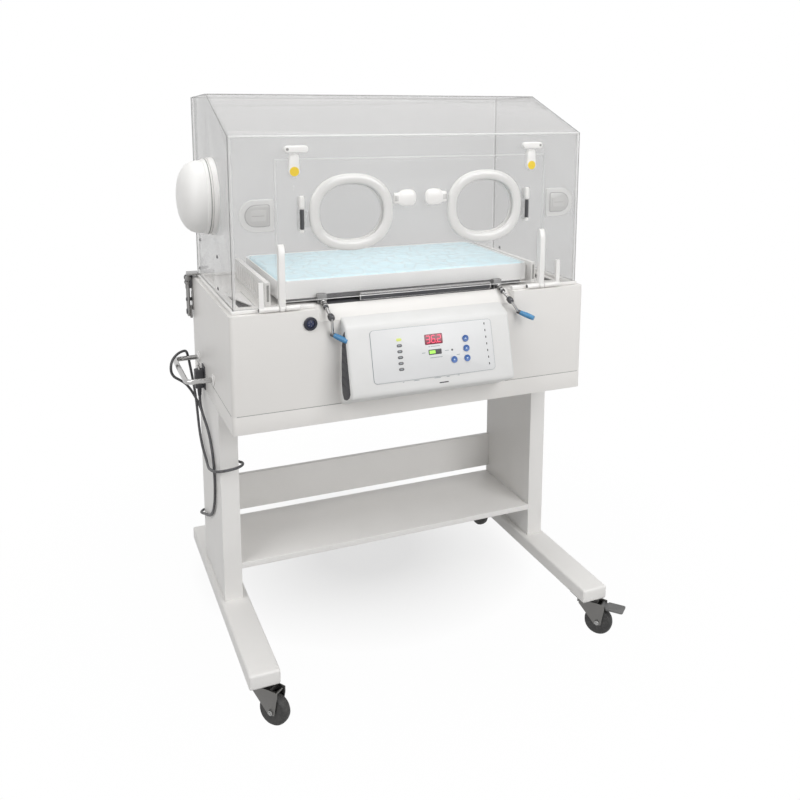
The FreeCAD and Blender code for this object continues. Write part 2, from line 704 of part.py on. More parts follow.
def dome(name, radius, depth, tip):
    body = document.addObject("PartDesign::Body", name)
    sketch = body.newObject("Sketcher::SketchObject", name + "_sketch")
    plane = [f for f in body.Origin.OriginFeatures if f.Role == "XZ_Plane"][0]
    sketch.AttachmentSupport = (plane, [""])
    sketch.MapMode = "FlatFace"
    outline = [
        ("0", "0"), ("0", radius), ("-0.22 * (%s)" % depth, radius),
        ("-0.62 * (%s)" % depth, "0.8 * (%s)" % radius),
        ("-0.9 * (%s)" % depth, "0.58 * (%s)" % radius),
        ("-1 * (%s)" % depth, tip), ("-1 * (%s)" % depth, "0"),
    ]
    corners = [FreeCAD.Vector(value(across), value(up), 0) for across, up in outline]
    count = len(corners)
    for number in range(count):
        sketch.addGeometry(Part.LineSegment(corners[number], corners[(number + 1) % count]), False)
    for number in range(count):
        sketch.addConstraint(Sketcher.Constraint("Coincident", number, 2, (number + 1) % count, 1))
    for number, corner in enumerate(outline):
        for kind, text, start in zip(("DistanceX", "DistanceY"), corner, corners[number]):
            where = sketch.addConstraint(Sketcher.Constraint(kind, -1, 1, number, 1, start))
            if str(text) != "0":
                bind(sketch, "Constraints[%d]" % where, text)
    spun = body.newObject("PartDesign::Revolution", name + "_spun")
    spun.Profile = sketch
    spun.ReferenceAxis = (sketch, ["H_Axis"])
    spun.Angle = 360
    return body


cover_seat = ("-hood_width / 2 - iris_flange_depth - lid_gap", "iris_y", "iris_z")
cover_solid = place(dome("cover_outside", "cover_radius", "cover_depth", "cover_tip"), cover_seat)
cover_void = place(
    dome(
        "cover_inside", "cover_radius - cover_wall", "cover_depth - cover_wall",
        "cover_tip - cover_wall",
    ),
    cover_seat,
)
spigot = rod(
    "cover_spigot", "iris_hole - lid_gap", "iris_flange_depth + lid_gap + acrylic",
    ("-hood_width / 2 - iris_flange_depth - lid_gap", "iris_y", "iris_z"), "x",
)
spigot_bore = rod(
    "cover_spigot_bore", "iris_hole - lid_gap - cover_wall", "iris_flange_depth + acrylic + 4",
    ("-hood_width / 2 - iris_flange_depth - lid_gap - 1", "iris_y", "iris_z"), "x",
)
seat_ring = cut(
    "cover_ring",
    rod(
        "cover_ring_disc", "cover_radius - cover_wall / 2", "cover_wall",
        ("-hood_width / 2 - iris_flange_depth - lid_gap - cover_wall", "iris_y", "iris_z"), "x",
    ),
    rod(
        "cover_ring_bore", "iris_hole - lid_gap - cover_wall", "cover_wall + 2",
        ("-hood_width / 2 - iris_flange_depth - lid_gap - cover_wall - 1", "iris_y", "iris_z"), "x",
    ),
)
node("iris_cover", fuse(
    "iris_cover", cut("iris_dome", cover_solid, cover_void), seat_ring,
    cut("iris_spigot", spigot, spigot_bore),
))


# Tube grommets: D-shaped pads with a window, on the hood front beside the door

def grommet():
    flat = box(
        "grommet_flat", ("grommet_flat", "grommet_depth", "2 * grommet_radius"),
        ("grommet_start", "hood_front - grommet_depth", "port_z - grommet_radius"),
    )
    nose = rod(
        "grommet_nose", "grommet_radius", "grommet_depth",
        ("grommet_start + grommet_flat", "hood_front - grommet_depth", "port_z"), "y",
    )
    window = box(
        "grommet_window", ("grommet_flat - 4", "grommet_depth + 2", "2 * grommet_window"),
        ("grommet_start + 12", "hood_front - grommet_depth - 1", "port_z - grommet_window"),
    )
    return cut("grommet", fuse("grommet", flat, nose), window)


right_grommet = grommet()
node("tube_grommets", group("tube_grommets", right_grommet, mirrored("left_grommet", right_grommet)))


# Front door: a clear panel on two arms that fold down about rods on the front edge of the deck

arm_inner = "door_width / 2 - arm_width"


def rod_stub(name, low, high):
    return rod(name, "rod_radius", "(%s) - (%s)" % (high, low), (low, "rod_y", "rod_z"), "x")


def hinge_rod():
    inner = rod_stub("rod_inner_stub", "rod_inner", arm_inner + " - arm_gap")
    outer = rod_stub("rod_outer_stub", arm_inner + " + arm_width + arm_gap", "rod_outer")
    pin = rod(
        "rod_pin_bar", "rod_pin", "arm_width + 2 * arm_gap + 2",
        (arm_inner + " - arm_gap - 1", "rod_y", "rod_z"), "x",
    )
    feet = [
        box(
            "rod_foot_" + name, ("rod_foot", "hood_front - 4 - rod_y", "rim_height"),
            (low, "rod_y", "rim_floor"),
        )
        for name, low in (("inner", "rod_inner"), ("outer", "rod_outer - rod_foot"))
    ]
    fin = box(
        "rod_fin", ("fin_width", "fin_depth", "fin_height"),
        ("rod_outer - rod_foot + 1", "rod_y - fin_depth / 2", "rod_z"),
    )
    return fuse("hinge_rod", inner, outer, pin, feet[0], feet[1], fin)


right_rod = hinge_rod()
node("door_hinge_rods", group("door_hinge_rods", right_rod, mirrored("left_rod", right_rod)))


def door_arm():
    barrel = rod(
        "arm_barrel_bar", "arm_barrel", "arm_width", (arm_inner, "rod_y", "rod_z"), "x",
    )
    outline = [
        ("rod_y - 6", "rod_z"), ("rod_y - 6", "rod_z + arm_height - 24"),
        ("rod_y + 2", "rod_z + arm_height"), ("hood_front - 4", "rod_z + arm_height"),
        ("hood_front", "rod_z + arm_height - 20"), ("hood_front", "door_floor + 4"),
        ("rod_y + 5", "rod_z + 3"), ("rod_y + 5", "rod_z"),
    ]
    arm = prism(
        "arm_blade", "YZ", outline, "arm_width", (arm_inner + " + arm_width / 2", "0", "0"),
    )
    bore = rod(
        "arm_bore", "rod_pin + running_gap", "arm_width + 2",
        (arm_inner + " - 1", "rod_y", "rod_z"), "x",
    )
    return cut("door_arm", fuse("door_arm", barrel, arm), bore)


right_arm = door_arm()

SIDES = {"left": -1, "right": 1}


def port_center(side):
    return "%d * port_spacing / 2" % SIDES[side]


door_blank = box(
    "door_blank", ("door_width", "acrylic", "door_height"),
    ("-door_width / 2", "hood_front", "door_floor"),
)
port_holes = [
    oval(
        "port_hole_" + side, "port_half_width", "port_half_height", "acrylic + 2",
        (port_center(side), "hood_front + acrylic + 1", "port_z"),
    )
    for side in SIDES
]
node("front_door", cut("front_door", door_blank, *port_holes))


def door_tab():
    tab = box(
        "tab_block", ("tab_width", "tab_depth", "tab_height"),
        ("tab_spacing / 2 - tab_width / 2", "hood_front - tab_depth - 0.3", "door_floor + door_height - tab_drop"),
    )
    seat = box(
        "tab_seat", ("tab_width - 4", "1.3", "tab_drop - 4"),
        ("tab_spacing / 2 - tab_width / 2 + 2", "hood_front - 1.3", "door_floor + door_height - tab_drop + 2"),
    )
    return fuse("door_tab", tab, seat)


right_tab = door_tab()
node("door_fittings", group(
    "door_fittings", right_arm, mirrored("left_arm", right_arm), right_tab,
    mirrored("left_tab", right_tab),
))


def turn_button(side):
    """A pill that turns on a post beside the top edge of the door."""
    sign = SIDES[side]
    center = "%d * (turn_spacing / 2 - turn_length / 2 + turn_end)" % sign
    straight = "turn_length - turn_width"
    front = "turn_back - turn_depth"
    bar = box(
        "turn_bar_" + side, (straight, "turn_depth", "turn_width"),
        ("%s - (%s) / 2" % (center, straight), front, "turn_z - turn_width / 2"),
    )
    ends = [
        rod(
            "turn_end_%s_%s" % (side, end), "turn_width / 2", "turn_depth",
            ("%s %s (%s) / 2" % (center, mark, straight), front, "turn_z"), "y",
        )
        for end, mark in (("low", "-"), ("high", "+"))
    ]
    post = rod(
        "turn_post_" + side, "turn_post", "hood_front - 0.3 - turn_back + 1",
        ("%d * turn_spacing / 2" % sign, "turn_back - 1", "turn_z"), "y",
    )
    return fuse("door_turn_" + side, bar, ends[0], ends[1], post)


for side in SIDES:
    node("door_turn_" + side, turn_button(side))


# Hand ports: a fixed ring and hinge strip on the door, an oval lid, and a press latch each

def port_ring(side):
    outside = oval(
        "ring_outside_" + side, "port_half_width + ring_band", "port_half_height + ring_band",
        "ring_depth", (port_center(side), "hood_front", "port_z"),
    )
    inside = oval(
        "ring_inside_" + side, "port_half_width", "port_half_height", "ring_depth + 2",
        (port_center(side), "hood_front + 1", "port_z"),
    )
    return cut("port_ring_" + side, outside, inside)


def port_hinge(side):
    axis = "%d * lid_axis_x" % SIDES[side]
    low_z = "port_z - strip_height / 2"
    strip = box(
        "strip_" + side, ("strip_width", "strip_thick", "strip_height"),
        (axis + " - strip_width / 2", "hood_front - strip_thick", low_z),
    )
    lugs = [
        box(
            "lug_%s_%s" % (side, name), ("lug_width", "hood_front - lid_axis_y + 6", "lug_height"),
            (axis + " - lug_width / 2", "lid_axis_y - 6", height),
        )
        for name, height in (("low", low_z), ("high", "port_z + strip_height / 2 - lug_height"))
    ]
    pin = rod("lid_pin_" + side, "lid_pin", "strip_height", (axis, "lid_axis_y", low_z))
    return fuse("port_hinge_" + side, strip, lugs[0], lugs[1], pin)




def port_lid(side):
    axis = "%d * lid_axis_x" % SIDES[side]
    back = "lid_y + lid_depth"
    rim = cut(
        "lid_rim_" + side,
        oval(
            "lid_outside_" + side, "lid_half_width", "lid_half_height", "lid_depth",
            (port_center(side), back, "port_z"),
        ),
        oval(
            "lid_inside_" + side, "lid_half_width - lid_band", "lid_half_height - lid_band",
            "lid_depth + 2", (port_center(side), back + " + 1", "port_z"),
        ),
    )
    pane = oval(
        "lid_pane_" + side, "lid_half_width - lid_band + 2", "lid_half_height - lid_band + 2",
        "lid_pane", (port_center(side), "lid_y + lid_depth / 2 + lid_pane / 2", "port_z"),
    )
    reach = "lid_hinge - lid_half_width + 8"
    low_x = axis if SIDES[side] < 0 else "%s - (%s)" % (axis, reach)
    ear = box(
        "lid_ear_" + side, (reach, "lid_depth - 4", "strip_height - 2 * lug_height - 20"),
        (low_x, "lid_y + 2", "port_z - (strip_height - 2 * lug_height - 20) / 2"),
    )
    length = "strip_height - 2 * lug_height - 0.6"
    barrel = rod(
        "lid_barrel_" + side, "lid_barrel", length, (axis, "lid_axis_y", "port_z - (%s) / 2" % length),
    )
    bore = rod(
        "lid_bore_" + side, "lid_pin + running_gap", "strip_height",
        (axis, "lid_axis_y", "port_z - strip_height / 2"),
    )
    return cut("port_lid_" + side, fuse("lid_" + side, rim, pane, ear, barrel), bore)


for side in SIDES:
    node("port_lid_" + side, port_lid(side))


def latch_low(side, start, length):
    """Low X of a box that starts a distance from the port centre towards the middle."""
    if SIDES[side] < 0:
        return "%s + %s" % (port_center(side), start)
    return "%s - %s - (%s)" % (port_center(side), start, length)


latch_bases = [
    box(
        "latch_base_" + side, ("latch_length - 16", "latch_base", "latch_height - 8"),
        (
            latch_low(side, "latch_start + 6", "latch_length - 16"),
            "hood_front - latch_base", "port_z + 28 - latch_height / 2 + 4",
        ),
    )
    for side in SIDES
]
rings = [port_ring(side) for side in SIDES]
hinges = [port_hinge(side) for side in SIDES]
node("port_frames", group("port_frames", *rings, *hinges, *latch_bases))
for side in SIDES:
    node("port_latch_" + side, slab(
        "port_latch_" + side, ("latch_length", "latch_depth", "latch_height"),
        (
            latch_low(side, "latch_start", "latch_length"),
            "hood_front - latch_base - lid_gap - latch_depth", "port_z + 28 - latch_height / 2",
        ),
        "4",
    ))


# Bed: a tilting frame, a tray that tilts on it, and the mattress

frame_outer = box(
    "frame_outer", ("bed_width", "bed_depth", "bed_bar_height"), ("-bed_width / 2", "bed_y", "bed_z"),
)
frame_inner = box(
    "frame_inner", ("bed_width - 2 * bed_bar", "bed_depth - 2 * bed_bar", "bed_bar_height + 2"),
    ("-bed_width / 2 + bed_bar", "bed_y + bed_bar", "bed_z - 1"),
)
KNUCKLE_ROWS = {"front": "bed_y + bed_knuckle_inset", "back": "bed_y + bed_depth - bed_knuckle_inset"}


def bed_knuckle(name, x, y, neck_size, neck_low):
    """A barrel that turns on a bed pin, with the neck that joins it to its own body."""
    barrel = rod(
        name + "_barrel", "knuckle_bar", "bed_knuckle", (x, y + " - bed_knuckle / 2", "pivot_z"), "y",
    )
    neck = box(name + "_neck", neck_size, neck_low)
    bore = rod(
        name + "_bore", "bed_pin + running_gap", "bed_knuckle + 2",
        (x, y + " - bed_knuckle / 2 - 1", "pivot_z"), "y",
    )
    return cut(name, fuse(name, barrel, neck), bore)


def bed_lugs(name, x, y, low_x, width, low_z):
    """The pair of lugs on both sides of a knuckle, with the pin between them."""
    lugs = [
        box(
            "%s_lug_%s" % (name, end), (width, "bed_lug", "pivot_z + lug_half - (%s)" % low_z),
            (low_x, start, low_z),
        )
        for end, start in (
            ("near", y + " - bed_knuckle / 2 - bed_gap - bed_lug"),
            ("far", y + " + bed_knuckle / 2 + bed_gap"),
        )
    ]
    pin = rod(
        name + "_pin", "bed_pin", "bed_knuckle + 2 * bed_gap + 2 * bed_lug",
        (x, y + " - bed_knuckle / 2 - bed_gap - bed_lug", "pivot_z"), "y",
    )
    return fuse(name, lugs[0], lugs[1], pin)


frame_pieces = [cut("frame_ring", frame_outer, frame_inner)]
tray_knuckles = []
deck_lugs = []
for row, row_y in KNUCKLE_ROWS.items():
    neck_y = row_y + " - bed_knuckle / 2"
    frame_pieces.append(bed_knuckle(
        "frame_knuckle_" + row, "pivot_x", row_y,
        ("pivot_reach + 1 - bed_pin - running_gap", "bed_knuckle", "2 * lug_half"),
        ("bed_width / 2 - 1", neck_y, "pivot_z - lug_half"),
    ))
    frame_pieces.append(bed_lugs(
        "frame_lugs_" + row, "-pivot_x", row_y, "-pivot_x - 4.5", "pivot_reach + 5.5",
        "pivot_z - lug_half",
    ))
    tray_knuckles.append(bed_knuckle(
        "tray_knuckle_" + row, "-pivot_x", row_y, ("6", "bed_knuckle", "tray_z + 1 - pivot_z - bed_pin"),
        ("-pivot_x - 3", neck_y, "pivot_z + bed_pin"),
    ))
    deck_lugs.append(bed_lugs(
        "deck_lugs_" + row, "pivot_x", row_y, "bed_width / 2 + 0.9", "9", "deck",
    ))
    deck_lugs.append(box(
        "rest_pad_" + row, ("bed_bar", "bed_knuckle", "bed_rise - bed_gap"),
        ("-bed_width / 2", neck_y, "deck"),
    ))
node("tilt_frame", fuse("tilt_frame", *frame_pieces))

tray_outer = slab(
    "tray_outer", ("tray_width", "tray_depth", "tray_height"),
    ("-tray_width / 2", "tray_y", "tray_z"), "tray_corner",
)
tray_inner = slab(
    "tray_inner",
    ("tray_width - 2 * tray_wall", "tray_depth - 2 * tray_wall", "tray_height"),
    ("-tray_width / 2 + tray_wall", "tray_y + tray_wall", "tray_z + tray_wall"),
    "tray_corner - tray_wall",
)
node("mattress_tray", fuse(
    "mattress_tray", cut("tray_shell", tray_outer, tray_inner), *tray_knuckles,
))
mattress_inset = "tray_wall + mattress_side"
node("mattress", slab(
    "mattress_block",
    (
        "tray_width - 2 * (%s)" % mattress_inset, "tray_depth - 2 * (%s)" % mattress_inset,
        "mattress_height",
    ),
    (
        "-tray_width / 2 + " + mattress_inset, "tray_y + " + mattress_inset,
        "tray_z + tray_wall + bed_gap",
    ),
    "tray_corner - tray_wall",
))


# Tilt cranks: a sloping shaft through a bearing block, a joint yoke, an arm and a grip

def crank(side, arm_turn):
    """Drawn with the shaft along +Z towards the user, then leaned over as a whole."""
    shaft = rod(
        "crank_shaft_" + side, "crank_shaft", "shaft_inside + shaft_outside", ("0", "0", "-shaft_inside"),
    )
    yoke = rod(
        "crank_yoke_" + side, "yoke_radius", "yoke_length", ("0", "0", "shaft_outside - yoke_length"),
    )
    turned = FreeCAD.Rotation(FreeCAD.Vector(0, 0, 1), SIZES[arm_turn])
    arm = box(
        "crank_arm_" + side, ("crank_arm_width", "crank_arm", "crank_arm_thick"),
        ("0", "0", "0"),
    )
    place(arm, ("-crank_arm_width / 2", "0", "shaft_outside - crank_arm_thick"))
    ball = rod(
        "crank_ball_" + side, "crank_arm_width / 2 + 4", "crank_arm_thick + 2",
        ("0", "crank_arm", "shaft_outside - crank_arm_thick - 1"),
    )
    grip = rod(
        "crank_grip_" + side, "grip_radius", "grip_length", ("0", "crank_arm", "shaft_outside + 1"),
    )
    handle = document.addObject("Part::Compound", "crank_handle_" + side)
    handle.Links = [fuse("crank_throw_" + side, arm, ball, grip)]
    handle.Placement = FreeCAD.Placement(FreeCAD.Vector(), turned)
    whole = fuse("crank_" + side, shaft, yoke, handle)
    holder = document.addObject("Part::Compound", "tilt_crank_%s_holder" % side)
    holder.Links = [whole]
    place(
        holder, ("%d * crank_spacing / 2" % SIDES[side], "crank_y", "crank_z"),
        axis=(1, 0, 0), angle="90 + crank_lean",
    )
    return holder


node("tilt_crank_left", crank("left", "left_arm_turn"))
node("tilt_crank_right", crank("right", "right_arm_turn"))


def crank_block(side):
    x = "%d * crank_spacing / 2" % SIDES[side]
    block = box(
        "crank_block_" + side, ("block_width", "block_depth", "block_height"),
        (x + " - block_width / 2", "crank_y - block_depth / 2 + 1.5", "deck"),
    )
    bore = rod(
        "crank_block_bore_" + side, "crank_shaft + running_gap", "80", ("0", "0", "-40"),
    )
    leaned = document.addObject("Part::Compound", "crank_bore_leaned_" + side)
    leaned.Links = [bore]
    place(leaned, (x, "crank_y", "crank_z"), axis=(1, 0, 0), angle="90 + crank_lean")
    return cut("crank_block_" + side, block, leaned)


crank_blocks = [crank_block(side) for side in SIDES]
node("cabinet_body", group("cabinet_body", cabinet_shell, *crank_blocks, *deck_lugs))


# Control module on the cabinet front: leaning face, fascia, display, lamps and four buttons

MODULE = [
    ("front_face", "deck - module_top"), ("face_y", "face_z"),
    ("face_y - face_run", "face_z - face_fall"),
    ("face_y - face_run", "face_z - face_fall - lip_height"),
    ("front_face", "deck - module_foot"),
]
MODULE_INSIDE = [
    ("front_face + 1", "deck - module_top - module_wall"),
    ("front_face", "deck - module_top - module_wall"),
    ("face_y + 2", "face_z - module_wall"),
    ("face_y - face_run + module_wall", "face_z - face_fall"),
    ("face_y - face_run + module_wall", "face_z - face_fall - lip_height + module_wall"),
    ("front_face", "deck - module_foot + module_wall"),
    ("front_face + 1", "deck - module_foot + module_wall"),
]


def on_face(piece, across, drop, lift):
    """Carry a piece drawn on XY onto the leaning face: X across, Y up the face, Z outwards."""
    holder = document.addObject("Part::Compound", piece.Name + "_on_face")
    holder.Links = [piece]
    at = (
        "fascia_shift + %s" % across,
        "face_y - (%s) * sin(face_lean) - (%s) * cos(face_lean)" % (drop, lift),
        "face_z - (%s) * cos(face_lean) + (%s) * sin(face_lean)" % (drop, lift),
    )
    return place(holder, at, axis=(1, 0, 0), angle="90 - face_lean")


BUTTONS = {
    "panel_button_up": ("button_column", "button_drop"),
    "panel_button_set": ("button_column", "button_drop + button_pitch"),
    "panel_button_down": ("button_column", "button_drop + 2 * button_pitch"),
    "panel_button_mute": ("button_side", "button_drop + 2 * button_pitch"),
}


def button_holes(name, depth):
    return [
        on_face(
            rod("%s_hole_%d" % (name, number), "button_hole", depth, ("0", "0", "-(%s) / 2" % depth)),
            across, drop, "0",
        )
        for number, (across, drop) in enumerate(BUTTONS.values())
    ]


module_blank = prism("module_blank", "YZ", MODULE, "module_width")
module_void = prism("module_void", "YZ", MODULE_INSIDE, "module_width - 2 * module_wall")
housing = cut("module_housing", module_blank, module_void, *button_holes("housing", "12"))

cheek_blank = [
    ("front_face", "deck - module_top - cheek_inset"),
    ("face_y + 3", "face_z - cheek_inset"),
    ("face_y - face_run + cheek_inset", "face_z - face_fall"),
    ("front_face", "deck - module_foot + cheek_inset + 6"),
]
right_cheek = prism(
    "right_cheek", "YZ", cheek_blank, "cheek_thick", ("module_width / 2 + cheek_thick / 2", "0", "0"),
)
node("module_housing", group(
    "module_housing", housing, right_cheek, mirrored("left_cheek", right_cheek),
))

fascia_plate = on_face(
    slab(
        "fascia_blank", ("fascia_width", "fascia_height", "fascia_thick"),
        ("-fascia_width / 2", "-fascia_height", "0"), "8",
    ),
    "0", "fascia_drop", "0",
)
node("module_fascia", cut("module_fascia", fascia_plate, *button_holes("fascia", "12")))


def label_plate(name, width, height, drop, across="0"):
    plate = box(
        name, (width, height, "print_thick"), ("-(%s) / 2" % width, "-(%s) / 2" % height, "0"),
    )
    return on_face(plate, across, drop, "fascia_thick")


display = label_plate("display_glass", "display_width", "display_height", "display_drop")
lamps = [
    on_face(
        rod("lamp_%d" % number, "lamp_radius", "print_thick"),
        "lamp_column", "lamp_drop + %d * lamp_pitch" % number, "fascia_thick",
    )
    for number in range(6)
]
level_bar = label_plate("level_bar", "gauge_width", "gauge_height", "gauge_drop", "2")
node("panel_lights", group("panel_lights", display, level_bar, *lamps))
for label, (across, drop) in BUTTONS.items():
    node(label, on_face(
        rod(
            label + "_cap", "button_radius", "button_stem + fascia_thick + button_proud",
            ("0", "0", "-button_stem"),
        ),
        across, drop, "0",
    ))


# Round probe socket on the cabinet front

socket_at = ("socket_across", "front_face - socket_depth", "deck - socket_drop")
socket_body = rod("socket_body", "socket_radius", "socket_depth", socket_at, "y")
socket_hole = rod(
    "socket_hole", "socket_bore", "socket_depth",
    ("socket_across", "front_face - socket_depth - 2", "deck - socket_drop"), "y",
)
node("probe_socket", cut("probe_socket", socket_body, socket_hole))


# Side handles: a bent tube on two roses at each end of the cabinet

def quarter_bend(name, at, turn):
    bend = document.addObject("Part::Torus", name)
    bind(bend, "Radius1", "handle_bend")
    bind(bend, "Radius2", "handle_tube")
    bend.Angle3 = 90
    return place(bend, at, turn=turn)


def side_handle():
    bar_x = "side_x + handle_reach - handle_tube"
    far_y = "handle_y + handle_span"
    pieces = []
    for name, y in (("front", "handle_y"), ("back", far_y)):
        pieces.append(rod(
            "handle_leg_" + name, "handle_tube", "handle_reach - handle_tube - handle_bend",
            ("side_x", y, "handle_z"), "x",
        ))
        pieces.append(rod("handle_rose_" + name, "handle_rose", "rose_thick", ("side_x", y, "handle_z"), "x"))
    pieces.append(rod(
        "handle_bar", "handle_tube", "handle_span - 2 * handle_bend",
        (bar_x, "handle_y + handle_bend", "handle_z"), "y",
    ))
    spin = FreeCAD.Vector(0, 0, 1)
    pieces.append(quarter_bend(
        "handle_bend_front", (bar_x + " - handle_bend", "handle_y + handle_bend", "handle_z"),
        FreeCAD.Rotation(spin, -90),
    ))
    pieces.append(quarter_bend(
        "handle_bend_back", (bar_x + " - handle_bend", far_y + " - handle_bend", "handle_z"),
        FreeCAD.Rotation(),
    ))
    return fuse("side_handle", *pieces)


right_handle = side_handle()
node("side_handles", group("side_handles", right_handle, mirrored("left_handle", right_handle)))


# Inside the cabinet: board, fan, heater ring and water tank

board = box(
    "board_plate", ("board_width", "board_thick", "board_height"),
    ("-board_width / 2", "front_face - standoff - board_thick", "deck - module_foot + 40"),
)
standoffs = [
    rod(
        "standoff_%s_%s" % (left, low), "standoff_radius", "standoff",
        (
            "%s * (board_width / 2 - 10)" % left, "front_face - standoff",
            "deck - module_foot + 40 + %s" % low,
        ),
        "y",
    )
    for left in ("-1", "1") for low in ("10", "(board_height - 10)")
]
chip = box(
    "board_chip", ("60", "4", "30"),
    ("-30", "front_face - standoff - board_thick - 4", "deck - module_foot + 70"),
)
node("control_board", fuse("control_board", board, chip, *standoffs))

motor = rod("motor_can", "motor_radius", "motor_height", ("0", "fan_y", "pan_inside"))
motor_shaft = rod(
    "motor_spindle", "motor_shaft", "rotor_lift + rotor_height",
    ("0", "fan_y", "pan_inside + motor_height"),
)
node("fan_motor", fuse("fan_motor", motor, motor_shaft))

rotor_z = "pan_inside + motor_height + rotor_lift"
rotor_cup = cut(
    "rotor_cup",
    rod("rotor_drum", "rotor_radius", "rotor_height", ("0", "fan_y", rotor_z)),
    rod(
        "rotor_void", "rotor_radius - rotor_wall", "rotor_height",
        ("0", "fan_y", rotor_z + " + rotor_wall"),
    ),
)
rotor_boss = rod("rotor_boss", "rotor_hub", "rotor_height - 4", ("0", "fan_y", rotor_z))
rotor_bore = rod(
    "rotor_bore", "motor_shaft + running_gap", "rotor_height + 2", ("0", "fan_y", rotor_z + " - 1"),
)
node("fan_rotor", cut("fan_rotor", fuse("fan_rotor", rotor_cup, rotor_boss), rotor_bore))

heater_ring = document.addObject("Part::Torus", "heater_ring")
bind(heater_ring, "Radius1", "heater_radius")
bind(heater_ring, "Radius2", "heater_tube")
place(heater_ring, ("0", "fan_y", "pan_inside + heater_rise"))
heater_posts = [
    rod(
        "heater_post_" + name, "heater_tube", "heater_rise",
        ("%s * heater_radius" % sign, "fan_y", "pan_inside"),
    )
    for name, sign in (("left", "-1"), ("right", "1"))
]
node("heater_ring", fuse("heater_ring", heater_ring, *heater_posts))

tank = box(
    "tank_outside", ("tank_length", "tank_width", "tank_height"),
    ("tank_across", "fan_y - tank_width / 2", "pan_inside"),
)
tank_void = box(
    "tank_inside", ("tank_length - 2 * tank_wall", "tank_width - 2 * tank_wall", "tank_height"),
    ("tank_across + tank_wall", "fan_y - tank_width / 2 + tank_wall", "pan_inside + tank_wall"),
)
node("water_tank", cut("water_tank", tank, tank_void))
# Mains lead: inlet, angled connector, the free cord, its coil behind the stand, and the plug

node("power_inlet", box(
    "inlet_plate", ("inlet_depth", "inlet_width", "inlet_height"),
    ("-side_x - inlet_depth", "inlet_y - inlet_width / 2", "cabinet_floor + 2"),
))
connector_block = box(
    "connector_block", ("connector_depth", "connector_width", "connector_height"),
    ("-side_x - inlet_depth - connector_depth", "inlet_y - connector_width / 2", "connector_z"),
)
lead_x = "-side_x - inlet_depth - connector_depth / 2"
relief = rod(
    "lead_relief", "relief_radius", "relief_length",
    (lead_x, "inlet_y", "connector_z - relief_length"),
)
clips = [
    rod(
        "lead_clip_" + name, "clip_radius", "clip_height",
        (lead_x, "inlet_y %s 7" % sign, "connector_z + connector_height"),
    )
    for name, sign in (("front", "-"), ("back", "+"))
]
node("lead_connector", fuse("lead_connector", connector_block, relief, *clips))

# The lead's way, with x measured from the left side of the cabinet
ROUTE = [
    # down from the connector, forward along the left leg and back down to its rear edge
    (-14, 135, 633), (-14, 135, 608), (-12, 106, 588), (-7, 64, 562), (-6, 26, 530),
    (-6, 2, 490), (-6, -5, 440), (-6, 5, 392), (-6, 32, 352), (-6, 72, 320),
    (-6, 118, 298), (-7, 164, 282), (-10, 196, 270),
    # round the back of the leg and over the rear rail
    (-11, 219, 264), (0, 236, 262), (22, 242, 262), (47, 242, 268), (62, 241, 290),
    (66, 240, 324), (66, 236, 358), (64, 220, 384), (61, 190, 402),
    # forward inside the leg and round its front edge
    (57, 148, 418), (56, 104, 438), (56, 60, 462), (56, 18, 482), (56, -20, 495),
    (58, -48, 503), (53, -68, 505), (35, -79, 504), (10, -79, 502), (-9, -68, 498),
    # back along the outside of the leg, over the first strand, and up to the handle
    (-16, -46, 492), (-16, -12, 482), (-15, 30, 470), (-10, 76, 462), (-7, 122, 462),
    (-7, 166, 474), (-8, 200, 505), (-9, 214, 548), (-11, 218, 594), (-16, 220, 640),
    (-22, 222, 684), (-27, 221, 716),
    # over the corner of the handle
    (-33, 207, 738), (-46, 187, 744), (-64, 168, 742), (-80, 154, 728), (-83, 152, 702),
    (-73, 170, 680), (-54, 198, 661),
    # down behind the leg to the coil on the floor
    (-33, 226, 638), (-13, 243, 602), (6, 249, 556), (16, 251, 506), (21, 250, 454),
    (26, 251, 402), (35, 252, 350), (49, 255, 300), (68, 260, 254), (91, 266, 212),
    (115, 275, 172), (139, 288, 134), (160, 306, 98), (176, 328, 66), (187, 350, 40),
    (193, 370, 24), (195, 388, 18),
]


def cord_tube(points, radius):
    """A round tube on straight runs joined by tangent arcs, and its length and arc radii."""
    points = [FreeCAD.Vector(*point) for point in points]
    edges = []
    radii = []
    start = points[0]
    for before, corner, after in zip(points, points[1:], points[2:]):
        inward = (before - corner).normalize()
        outward = (after - corner).normalize()
        half_turn = (math.pi - inward.getAngle(outward)) / 2
        setback = 0.45 * min(before.distanceToPoint(corner), corner.distanceToPoint(after))
        bend = setback / math.tan(half_turn)
        entry = corner + inward * setback
        leave = corner + outward * setback
        bisector = (inward + outward).normalize()
        middle = corner + bisector * (bend / math.cos(half_turn) - bend)
        edges.append(Part.LineSegment(start, entry).toShape())
        edges.append(Part.Arc(entry, middle, leave).toShape())
        radii.append(bend)
        start = leave
    edges.append(Part.LineSegment(start, points[-1]).toShape())
    path = Part.Wire(edges)
    ring = Part.Circle(points[0], points[1] - points[0], radius).toShape()
    tube = path.makePipeShell([Part.Wire([ring])], True, True)
    return tube, path.Length, radii


left_side = -value("side_x")
tube, tube_length, bends = cord_tube([(left_side + x, y, z) for x, y, z in ROUTE], value("lead_radius"))
lead = document.addObject("Part::Feature", "lead_tube")
lead.Shape = tube
node("mains_lead", lead)
print("lead %.0f mm, tightest bend %.1f mm, others %s" % (
    tube_length, min(bends), " ".join("%.0f" % bend for bend in sorted(bends)[1:8]),
))
print("lead volume against section times length: %.4f" % (
    tube.Volume / (math.pi * value("lead_radius") ** 2 * tube_length),
))

